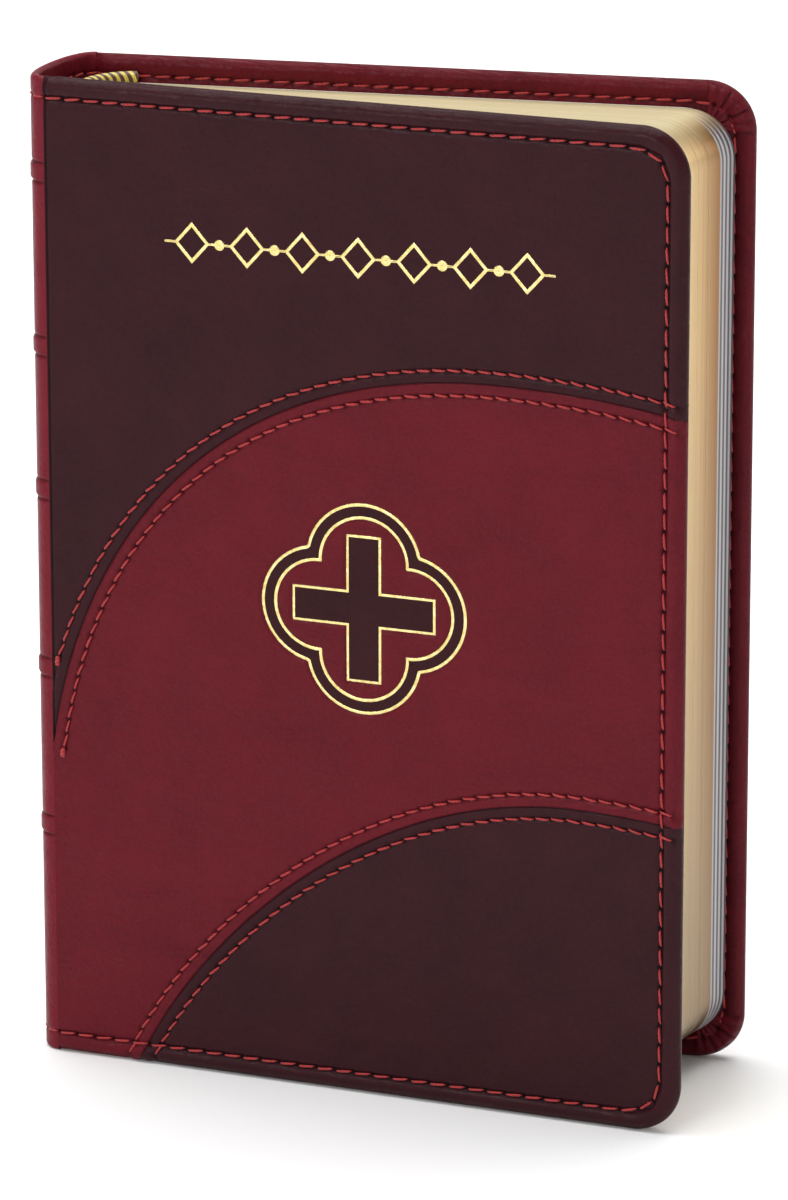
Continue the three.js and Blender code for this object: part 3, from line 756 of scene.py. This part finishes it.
def clip(table, triangles, value):
    """The part of a triangle mesh where `value` is above zero, cut exactly along zero."""
    inside = value > 0
    count = inside[triangles].sum(1)
    faces, extra, made = triangles[count == 3].tolist(), [], {}

    def crossing(a, b):
        a, b = min(a, b), max(a, b)
        if (a, b) not in made:
            share = value[a] / (value[a] - value[b])
            made[a, b] = len(table) + len(extra)
            extra.append(table[a] * (1 - share) + table[b] * share)
        return made[a, b]

    for face in triangles[(count > 0) & (count < 3)]:
        ring = []
        for a, b in zip(face, np.roll(face, -1)):
            if inside[a]:
                ring.append(int(a))
            if inside[a] != inside[b]:
                ring.append(crossing(int(a), int(b)))
        faces += [[ring[0], ring[k], ring[k + 1]] for k in range(1, len(ring) - 1)]
    used, faces = np.unique(faces, return_inverse=True)
    return np.vstack([table, *extra])[used], faces.reshape(-1, 3)


def front_place(points):
    """Cover points (X, depth, Z) as they lie on the front cover."""
    return np.asarray(points, float)


def back_place(points):
    """Cover points (X, depth, Z) as they lie on the back cover, which leans out by the swell."""
    points = np.asarray(points, float)
    x, y = points[:, 0], -points[:, 1]
    turned_x = x * math.cos(SWELL) - y * math.sin(SWELL)
    turned_y = x * math.sin(SWELL) + y * math.cos(SWELL)
    return np.stack([turned_x, SPINE_T + turned_y, points[:, 2]], -1)


# ---- Emblem and ornament outlines
def lobed_outline(r, steps=22):
    """Four joined circles of radius r round the emblem's centre."""
    out = EMBLEM["lobe_at"]
    half = 0.75 * math.pi - math.acos(out / (r * math.sqrt(2)))
    points = []
    for k in range(4):
        middle = k * math.pi / 2
        center = (EMBLEM["x"] + out * math.cos(middle), EMBLEM["z"] + out * math.sin(middle))
        for a in np.linspace(middle - half, middle + half, steps, endpoint=False):
            points.append((center[0] + r * math.cos(a), center[1] + r * math.sin(a)))
    return np.array(points)


def cross_outline(inset=0.0):
    """A plain cross with equal, straight arms."""
    arm, h = EMBLEM["arm"] - inset, EMBLEM["arm_w"] / 2 - inset
    corner = [(h, -arm), (h, -h), (arm, -h), (arm, h), (h, h), (h, arm)]
    whole = corner + [(-a, -b) for a, b in corner]
    return np.array(whole) + (EMBLEM["x"], EMBLEM["z"])


def lozenge(cx, half):
    slope = ORNAMENT["height"] / ORNAMENT["width"] * ORNAMENT["lozenges"] / 0.66
    z = ORNAMENT["z"]
    return np.array([(cx - half, z), (cx, z - half * slope), (cx + half, z), (cx, z + half * slope)])


def closed_line(points, step=None, count=None):
    """Even points round a closed outline, the first not repeated."""
    return resample(np.vstack([points, points[:1]]), step, count)[:-1]


BAND_IN = EMBLEM["lobe_r"] - EMBLEM["band"]
EMBLEM_LINES = [lobed_outline(EMBLEM["lobe_r"]), lobed_outline(BAND_IN), cross_outline()]


PRESSED = 0.26  # how deep the stamping die went


def emblem_depth(points):
    """How far the stamping die pressed the leather down at each point."""
    outer, inner, cross = (signed_distance(points, line, True) for line in EMBLEM_LINES)
    inside = np.maximum(np.minimum(outer, -inner), cross)
    return PRESSED * smooth((inside + 0.55) / 0.65)


def bead(outline, width, top, base, rise=0.06):
    """A raised foil line just inside a closed outline: points (X, depth, Z) and faces."""
    share = (0.0, 0.12, 0.5, 0.88, 1.0)
    height = (base, top + rise * 0.4, top + rise, top + rise * 0.4, base)
    rows = [np.insert(offset(outline, s * width, True), 1, -h, axis=1) for s, h in zip(share, height)]
    return np.concatenate(rows), grid_faces(len(rows), len(outline), loop=True)


def joined(parts):
    """Several (points, faces) parts as one."""
    points, faces, start = [], [], 0
    for part, part_faces in parts:
        points.append(part)
        faces += [[i + start for i in face] for face in part_faces]
        start += len(part)
    return np.concatenate(points), faces


def stamp(node, points, faces, slot="gold_foil"):
    """A foil piece on the front cover in place of its CAD node."""
    values = {"painted_shade": np.zeros(len(points))}
    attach(make_piece(node + "_foil", points, faces, slot, node, values), FRONT_COVER)


def build_emblem():
    """The emblem's gold outlines and brown fills, at the bottom of the pressed leather."""
    sunk = PRESSED - FACE_RISE
    line = FOIL_LINE
    outer = closed_line(lobed_outline(EMBLEM["lobe_r"]), 0.35)
    inner = closed_line(lobed_outline(BAND_IN), 0.35)
    for node, outline, width in (
        ("emblem_outline_outer", outer, line),
        ("emblem_outline_inner", inner, -line),
        ("emblem_cross_outline", cross_outline(), line),
    ):
        stamp(node, *bead(outline, width, 0.01 - sunk, -sunk - 0.05))
    floor = sunk - 0.03
    count = len(outer)
    inside = closed_line(inner, count=count + 1)
    rows = []
    for share in np.linspace(0, 1, 5):
        edge = offset(outer, line * 0.6, True) * (1 - share) + offset(inside, -line * 0.6, True) * share
        rows.append(np.insert(edge, 1, floor - 0.03 * math.sin(math.pi * share), axis=1))
    band = np.concatenate(rows), grid_faces(5, count, loop=True)
    stamp("emblem_band_fill", *band, "brown_foil")
    cross = np.insert(cross_outline(line * 0.6), 1, floor - 0.02, axis=1)
    stamp("emblem_cross_fill", cross, [list(range(len(cross)))], "brown_foil")


def build_ornament():
    """The row of lozenges and dots joined by short bars."""
    pitch = ORNAMENT["width"] / ORNAMENT["lozenges"]
    first = ORNAMENT["x"] - ORNAMENT["width"] / 2 + pitch / 2
    half, z, rule, dot = pitch * 0.33, ORNAMENT["z"], 0.24, ORNAMENT["dot_r"]
    parts = []
    for k in range(ORNAMENT["lozenges"]):
        cx = first + k * pitch
        parts.append(bead(lozenge(cx, half), FOIL_LINE, FACE_RISE, 0.0))
        for x0, x1 in ((cx - pitch / 2, cx - half + 0.3), (cx + half - 0.3, cx + pitch / 2)):
            bar = np.array([(x0, z - rule), (x1, z - rule), (x1, z + rule), (x0, z + rule)])
            parts.append(bead(bar, rule * 0.98, FACE_RISE, 0.0, rise=0.05))
        if k:
            angle = np.linspace(0, 2 * math.pi, 24, endpoint=False)
            ring = np.stack([np.cos(angle), np.sin(angle)], -1) * dot + (cx - pitch / 2, z)
            parts.append(bead(ring, dot * 0.98, FACE_RISE, 0.0, rise=0.08))
    stamp("title_ornament", *joined(parts))


# ---- Stitches
def stitch(start, end, side, up, width, lift, slant, turn):
    """One stitch of two-ply thread between two needle holes: points, faces and ply shading."""
    along = end - start
    sections, around = 9, 8
    u = np.linspace(-1, 1, sections)
    body = (1 - np.abs(u) ** 5) ** 0.5
    center = start + along * (u[:, None] + 1) / 2
    center = center + side * (slant * u)[:, None] + up * (lift * (1 - u**4) - 0.16 * np.abs(u) ** 4)[:, None]
    angle = np.linspace(0, 2 * math.pi, around, endpoint=False)
    wound = angle[None] - (u[:, None] * np.linalg.norm(along) * 2.1 + turn)
    ply = 0.5 + 0.5 * np.cos(2 * wound)
    radius = width / 2 * (0.80 + 0.26 * ply) * (0.25 + 0.75 * body[:, None])
    points = center[:, None] + side * (radius * np.cos(angle))[..., None]
    points = points + up * (0.82 * radius * np.sin(angle))[..., None]
    faces = grid_faces(sections, around, loop=True) + end_caps(around, sections * around)
    return points.reshape(-1, 3), faces, ply.ravel()


def stitch_row(places, up, width=0.45, gap=0.58, lift=0.14, slant=0.12, seed=1):
    """Stitches between neighbouring needle holes, each (points, faces, ply), with `up` at each hole."""
    rng = random.Random(seed)
    row = []
    for a, b, upward in zip(places[:-1], places[1:], up):
        way = (b - a) / np.linalg.norm(b - a)
        normal = upward - way * (upward @ way)
        normal = normal / np.linalg.norm(normal)
        thick = width * rng.uniform(0.92, 1.08)
        high = lift * rng.uniform(0.8, 1.25)
        lean = slant * rng.uniform(0.6, 1.4)
        ends = a + way * gap / 2, b - way * gap / 2
        row.append(stitch(*ends, np.cross(normal, way), normal, thick, high, lean, rng.uniform(0, 6)))
    return row


def thread_piece(name, stitches, node):
    """One piece from many stitches."""
    points, faces = joined([made[:2] for made in stitches])
    ply = np.concatenate([made[2] for made in stitches])
    return make_piece(name, points, faces, "red_thread", node, {"ply": ply}, weld=False)


def edge_stitches(place, seed):
    """The edge stitching of a cover, outside and inside."""
    made = []
    inner_holes = resample(stitch_line(), count=len(EDGE_HOLES))
    for holes, depth, outward, more in ((EDGE_HOLES, 0.06, -1, 0), (inner_holes, COVER_T - 0.12, 1, 0.5)):
        level = np.full(len(holes), depth)
        if outward > 0:
            level = level - thinning(holes[:, 0])
        spots = place(np.insert(holes, 1, level, axis=1))
        ahead = place(np.insert(holes, 1, level + outward, axis=1))
        made += stitch_row(spots, ahead - spots, seed=seed + more)
    return made


def build_threads():
    """The covers' edge stitching, and the four rows along the front cover's seams."""
    for name, place, body, parent, seed in (
        ("front_edge", front_place, FRONT_COVER, FRONT_LEAVES, 3),
        ("back_edge", back_place, BACK_COVER, ROOT, 5),
    ):
        piece = thread_piece(name + "_thread", edge_stitches(place, seed), name + "_stitch")
        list(joint_span(place))
        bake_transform(piece)
    for k, (name, row) in enumerate(seam_rows().items()):
        spots = np.insert(stitch_places(row, SEAM_PITCH), 1, 0.04, axis=1)
        ups = np.tile((0.0, -1.0, 0.0), (len(spots), 1))
        made = stitch_row(spots, ups, 0.45, 0.22, 0.22, -0.18, 11 + k)
        if name.startswith("upper"):
            knot = spots[0] + np.array([(-0.5, -0.02, -1.9), (-0.15, -0.08, 0.1)])
            made += stitch_row(knot, ups, 1.05, 0.1, 0.24, 0.12, 31 + k)
        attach(thread_piece("front_" + name.replace("stitch", "thread"), made, name), FRONT_COVER)


# ---- Covers
def span(start, end):
    return [tuple(p) for p in to_row([start, end])]


def joint_span(place):
    """Where a cover's leather starts to follow the cover, and where it follows it fully."""
    return span(*place(np.array([[0.05, 0.5, 0], [3.2, 0.5, 0]])))


def build_front_cover():
    """The three leathers of the front cover, cut from one skin along the seams."""
    seam_shifts = (-3.2, -2.75, -2.45, -2.2, -1.95, -1.55, -1.1, -0.7, -0.42, -0.28, -0.16, -0.05)
    shifts = seam_shifts + tuple(-s for s in seam_shifts[::-1])
    guides = [(UPPER, shifts, 3.5, False), (LOWER, shifts, 3.5, False)]
    guides += [(closed_line(line, 0.45), (-0.7, -0.45, -0.25, 0.0, 0.2), 1.0, True) for line in EMBLEM_LINES]
    holes = [stitch_places(row, SEAM_PITCH) for row in seam_rows().values()]

    def relief(points):
        """Height and painted shade of the seams, their stitching, the emblem and the lap at the joint."""
        height, painted_shade = -emblem_depth(points), np.zeros(len(points))
        for k, (seam, sign) in enumerate(((UPPER, 1), (LOWER, -1))):
            away = sign * signed_distance(points, seam)
            height = height + seam_height(away)
            # Painted shade along the groove where the seam's two edges meet.
            painted_shade = np.maximum(painted_shade, 0.45 * bell(away - 0.02, 0.08))
            for row_holes, row_at in zip(holes[2 * k : 2 * k + 2], (SEAM_ROW, -SEAM_ROW)):
                near = np.abs(sign * away - row_at)
                groove, pierced = stitched_groove(points, near, row_holes, 0.20, 0.36)
                height = height - groove
                # Painted shade in the seam stitching's needle holes.
                painted_shade = np.maximum(painted_shade, 0.8 * pierced)
        # A groove at the joint, with painted shade along it.
        lap = smooth((points[:, 1] - 58) / 3) * bell(points[:, 0] - 0.3, 0.16)
        return height - 0.26 * lap, np.maximum(painted_shade, 0.7 * lap)

    table, triangles = cover_skin(guides, relief)
    flat = table[:, (0, 2)]
    table = np.column_stack([table, signed_distance(flat, UPPER), -signed_distance(flat, LOWER)])
    above, below = 4, 5  # the columns that are positive above the upper seam and below the lower one
    rest = clip(table, triangles, -table[:, above])
    for node, (cut, faces), slot in (
        ("front_leather_upper", clip(table, triangles, table[:, above]), "dark_leather"),
        ("front_leather_middle", clip(*rest, -rest[0][:, below]), "burgundy_leather"),
        ("front_leather_lower", clip(*rest, rest[0][:, below]), "dark_leather"),
    ):
        piece = make_piece(node + "_skin", cut[:, :3], faces, slot, node, {"painted_shade": cut[:, 3]})
        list(joint_span(front_place))
        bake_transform(piece)


def build_back_cover():
    table, faces = cover_skin([], lambda points: (0.0, 0.0))
    points, values = back_place(table[:, :3]), {"painted_shade": table[:, 3]}
    piece = make_piece("back_leather_skin", points, faces, "burgundy_leather", "back_leather", values)
    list(joint_span(back_place))
    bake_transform(piece)


# ---- Spine
SPINE_REACH = 3.2  # how far the spine runs straight on from each joint


def spine_line():
    """Outside of the spine in plan (X, Y), from the front joint round to the back joint."""
    crown = [(-SPINE_BULGE, y) for y in (3.2, 9.5, 16.5)]
    back = (-SPINE_REACH, SPINE_T - SPINE_REACH * math.tan(SWELL))
    return resample(along_bezier([(0, 0), (-SPINE_REACH, 0), *crown, back, (0, SPINE_T)], 0.1), count=61)


def spine_profile():
    """Up the spine: (z, depth below the outside), turned in at tail and head."""
    thick = TURN_IN_DEPTH
    half = thick / 2
    turn = [(half - half * math.cos(a), half + half * math.sin(a)) for a in np.linspace(-1.5, 1.5, 13)]
    inside = [(z, thick) for z in (TURN_IN_W, 11, 8, 6, 4.6, 4.0, 3.8, 3.6, 3.4, 3.2, 2.6, 1.6)]
    tail = inside + [(z, depth) for z, depth in turn[::-1]]
    marks = {1.4, 2.2, 2.8, 3.2, 3.4, 3.6, 3.8, 4.0, 4.4, 5.0, 6.0}
    marks |= {COVER_H - z for z in marks}
    for z in BAND_Z:
        for away in (0, 0.5, 1.0, 1.3, 1.5, 1.7, 1.9, 2.1, 2.3, 2.6, 3.0, 3.6):
            marks |= {z - away, z + away}
    marks |= set(np.arange(7, COVER_H - 7, 1.5))
    outside = []
    for z in sorted(marks):
        if not outside or z - outside[-1][0] > 0.08:
            outside.append((z, 0.0))
    head = [(COVER_H - z, depth) for z, depth in tail[::-1]]
    return np.array(tail + outside + head)


def build_spine():
    """The spine leather with its raised bands, and the runs of stitching across its two ends."""
    line = spine_line()
    outward = normals_2d(line)
    profile = spine_profile()
    count = len(line)
    across = np.linspace(0, 1, count)
    fade = smooth(across / 0.16) * smooth((1 - across) / 0.16)
    girth = lengths(line).sum()
    hole_at = np.linspace(0, girth, round(girth / EDGE_PITCH) + 1)
    to_hole = np.abs((across * girth)[:, None] - hole_at[None]).min(1)
    points, painted_shade = [], []
    for z, depth in profile:
        from_row = min(z, COVER_H - z) - STITCH_IN
        groove = 0.28 * bell(from_row, 0.4) * (1 + 0.9 * bell(to_hole, 0.5))
        # Painted shade in the needle holes of the stitching at tail and head.
        dark = bell(from_row, 0.35) * bell(to_hole, 0.45)
        height = 0.7 * groove - depth
        if depth == 0:
            away = np.abs(np.array(BAND_Z) - z).min()
            band = 0.24 * (1 - smooth((away - 1.0) / 0.7)) * fade
            tooled = 0.36 * bell(away - 1.75, 0.26) * smooth(across / 0.03) * smooth((1 - across) / 0.03)
            height = band - tooled - groove
            # Painted shade in the tooled lines beside each band.
            dark = dark + 0.6 * bell(away - 1.75, 0.22)
        points.append(np.insert(line + outward * height[:, None], 2, z, axis=1))
        painted_shade.append(np.clip(dark, 0, 1))
    faces = grid_faces(len(profile), count)
    values = {"painted_shade": np.concatenate(painted_shade)}
    points = np.concatenate(points)
    piece = make_piece("spine_leather_skin", points, faces, "spine_leather", "spine_leather", values)
    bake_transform(piece)

    spots = resample(line, count=len(hole_at))
    ups = normals_2d(spots)
    for end, z in (("tail", STITCH_IN), ("head", COVER_H - STITCH_IN)):
        made = []
        for depth, sign in ((0.05, 1), (TURN_IN_DEPTH - 0.03, -1)):
            places = np.insert(spots - ups * depth, 2, z, axis=1)
            made += stitch_row(places, np.insert(sign * ups, 2, 0, axis=1), seed=41)
        piece = thread_piece(f"spine_edge_thread_{end}", made, f"spine_edge_stitch_{end}")
        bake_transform(piece)


# ---- Leaves
FRONT_SECTIONS, REAR_SECTIONS = 3, 5
LEAF_FRONT = COVER_T + 0.5
FORE_EDGE_HOLLOW = 2.4
BACK_ROUND_R, BACK_ROUND_X = 9.75, 1.9


def leaf_y(share, x):
    """Y of the leaf that lies `share` of the way through the block, at X."""
    rear = SPINE_T + x * math.tan(SWELL) - LEAF_FRONT / math.cos(SWELL)
    return LEAF_FRONT + share * (rear - LEAF_FRONT)


ROUND_MID_Y = (leaf_y(0, 5) + leaf_y(1, 5)) / 2


def back_x(y, out=0.0):
    """X of the rounded back at Y, `out` measured outward from the folds."""
    r = BACK_ROUND_R + out
    off = np.minimum(np.abs(y - ROUND_MID_Y), r * 0.96)
    return BACK_ROUND_X + BACK_ROUND_R - np.sqrt(r * r - off * off)


def fore_edge_x(share):
    return LEAF_FORE_EDGE - 0.3 * share - FORE_EDGE_HOLLOW * (1 - (2 * share - 1) ** 2)


def page_outline(gutter, fore, tail, head, bend, side=0):
    """A leaf's outline (X, Z) from the fold at the tail to the head, and its points before the fore-edge."""
    r = LEAF_CORNER_R
    low = quarter_circle(fore - r, tail + r, r, bend, -1)
    high = quarter_circle(fore - r, head - r, r, bend, 1)
    upright = [(fore, z) for z in np.linspace(tail + r, head - r, side + 2)[1:-1]]
    bottom, top = [(x, tail) for x in gutter], [(x, head) for x in gutter[::-1]]
    return np.array([*bottom, *low, *upright, *high, *top]), len(gutter) + bend


def page_faces(start, around, column):
    """Faces over a leaf's outline: strips from tail to head, and one face at the fore-edge."""
    last = start + around - 1
    strips = [[start + i, start + i + 1, last - i - 1, last - i] for i in range(column - 1)]
    front = [start + i for i in range(column - 1, around - column + 1)]
    return strips + [front] if len(front) > 2 else strips


def gutter_steps(steps, first, fore):
    """X of the points across a leaf: close together where it bends, then every 6 mm."""
    return np.concatenate([steps, np.arange(first, fore - LEAF_CORNER_R - 2, 6)])


def leaf_loop(share, jitter):
    """One leaf's outline (X, Y, Z), and how many of its points come before the fore-edge."""
    fold = back_x(leaf_y(share, back_x(leaf_y(share, 3.0)))) + 0.08
    fore = fore_edge_x(share) + jitter
    gutter = gutter_steps(np.linspace(fold, 22, 18), 28, fore)
    loop, column = page_outline(gutter, fore, LEAF_TAIL - jitter * 0.7, LEAF_HEAD + jitter * 0.7, 15, 26)
    return np.insert(loop, 1, leaf_y(share, loop[:, 0]), axis=1), column


LAYERS = 26  # outlines modelled in each section
SECTION_GAP = 0.0007  # share of the block left open on each side of a section


def leaf_block(first, last, rng):
    """A gathering of leaves: its edge wall, its two page faces, and each point's share and page."""
    loops, shares = [], np.linspace(first, last, LAYERS)
    shares[0] += SECTION_GAP
    shares[-1] -= SECTION_GAP
    for k, share in enumerate(shares):
        edge_change = -0.03 if k in (0, LAYERS - 1) else 0.0
        loop, column = leaf_loop(share, rng.uniform(-0.010, 0.010) + edge_change)
        loops.append(loop)
    around = len(loop)
    wall = LAYERS * around
    faces = grid_faces(LAYERS, around, loop=True)
    faces += page_faces(wall, around, column) + page_faces(wall + around, around, column)
    page = np.repeat([0.0, 1.0], [wall, 2 * around])
    shares = np.repeat([*shares, shares[0], shares[-1]], around)
    return np.concatenate([*loops, loops[0], loops[-1]]), faces, {"share": shares, "page": page}


def build_leaves():
    """The eight sections of leaves; the rear ones are attached to the spine's body."""
    count = FRONT_SECTIONS + REAR_SECTIONS
    rng = random.Random(8)
    for k in range(count):
        in_front = k < FRONT_SECTIONS
        name = f"front_section_{k + 1}" if in_front else f"rear_section_{k - FRONT_SECTIONS + 1}"
        points, faces, values = leaf_block(k / count, (k + 1) / count, rng)
        piece = make_piece(name + "_leaves", points, faces, "gilt_leaves", name, values, weld=False)
        if in_front:
            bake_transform(piece)
        else:
            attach(piece, ROOT)


def build_flyleaves():
    """Front and rear flyleaves, each a single sheet."""
    fore = fore_edge_x(0) - 0.05
    gutter = gutter_steps(np.linspace(5.6, 24, 16), 30, fore)
    outline, column = page_outline(gutter, fore, LEAF_TAIL, LEAF_HEAD, 12)
    around = len(outline)
    points = np.concatenate([np.insert(outline, 1, COVER_T + depth, axis=1) for depth in (0.17, 0.35)])
    faces = grid_faces(2, around, loop=True) + page_faces(0, around, column)
    faces += page_faces(around, around, column)
    for node, place in (("front_flyleaf", front_place), ("rear_flyleaf", back_place)):
        piece = make_piece(node + "_sheet", place(points), faces, "paper", node)
        if node == "front_flyleaf":
            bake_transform(piece)
        else:
            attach(piece, ROOT)


def build_endpaper_folds():
    """The folds of the endpapers, which close each joint inside."""
    inner, outer = WINDOW_DEPTH, COVER_T + 0.30
    curve = along_bezier([(3.4, inner + 0.42), (1.2, inner + 0.36), (1.2, outer), (6.4, outer)], 0.3)
    loop = np.concatenate([curve, offset(curve, 0.12)[::-1]])
    levels = np.linspace(LEAF_TAIL + 8.6, LEAF_HEAD - 8.6, 40)
    points = np.concatenate([np.insert(loop, 2, z, axis=1) for z in levels])
    faces = grid_faces(len(levels), len(loop), loop=True) + end_caps(len(loop), len(points))
    for name, place, parent, body in (
        ("front", front_place, FRONT_LEAVES, FRONT_COVER),
        ("rear", back_place, ROOT, BACK_COVER),
    ):
        piece = make_piece(f"{name}_endpaper_fold", place(points), faces, "paper")
        bend = place(np.array([[6.2, outer, 0], [1.6, inner, 0]]))
        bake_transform(piece)


def build_bands():
    """Head and tail bands: silk wound over a cord that follows the rounded back."""
    step = 0.09
    low, high = node_box("head_band")
    y = np.linspace(low[1] + 0.1, high[1] - 0.1, 260)
    line = resample(np.stack([back_x(y) + 0.7, y], -1), step)
    outward = normals_2d(line)
    along = np.arange(len(line)) * step
    angle = np.linspace(0, 2 * math.pi, 28, endpoint=False)
    wound = along[:, None] + 0.44 * np.sin(angle)[None] + 0.35 * np.cos(angle)[None]
    strand = np.abs(np.sin(math.pi * wound / 0.40))
    end = np.minimum(along, along[-1] - along)[:, None]
    radius = (1.0 + 0.09 * strand) * np.sqrt(np.clip(end / 0.35 + 0.15, 0, 1))
    plan = line[:, None] + outward[:, None] * (radius * np.cos(angle))[..., None]
    faces = grid_faces(len(line), len(angle), loop=True) + end_caps(len(angle), wound.size)
    for name, z in (("head_band", LEAF_HEAD + 1.15), ("tail_band", LEAF_TAIL - 1.15)):
        tube = np.insert(plan, 2, z + radius * np.sin(angle), axis=2).reshape(-1, 3)
        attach(make_piece(name + "_silk", tube, faces, "silk_band", name, {"wound": wound.ravel()}), ROOT)


def build_fold_glue():
    """The glue over the front leaves' folds."""
    mesh = frame["nodes"]["front_fold_glue"].data
    points = (np.array([v.co for v in mesh.vertices]) - ORIGIN) / MM
    faces = [list(p.vertices) for p in mesh.polygons]
    piece = make_piece("front_fold_glue_film", points, faces, "paper", "front_fold_glue")
    piece.data.polygons.foreach_set("use_smooth", [False] * len(piece.data.polygons))
    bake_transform(piece)


# ---- The whole book
def dress_cad(nodes, material):
    """Gives CAD nodes that are shown as they are one material."""
    for name in nodes:
        data = frame["nodes"][name].data
        data.materials.clear()
        data.materials.append(material)


def dress_hidden_nodes():
    """Looks of the CAD nodes that are shown as they are."""
    cloth = cloth_material()
    lining = paper_material("lining_paper", True)
    card = paper_material("grey_card", True, (150, 140, 124))
    dress_cad(["front_pastedown", "back_pastedown", "fold_glue", "hollow_tube"], lining)
    dress_cad(["front_board", "back_board", "spine_inlay"], card)
    dress_cad(["sewing_tape_1", "sewing_tape_2", "sewing_tape_3", "mull_cloth"], cloth)


make_camera()
make_studio()
build_front_cover()
build_back_cover()
build_spine()
build_threads()
build_emblem()
build_ornament()
build_leaves()
build_flyleaves()
build_endpaper_folds()
build_bands()
build_fold_glue()
dress_hidden_nodes()
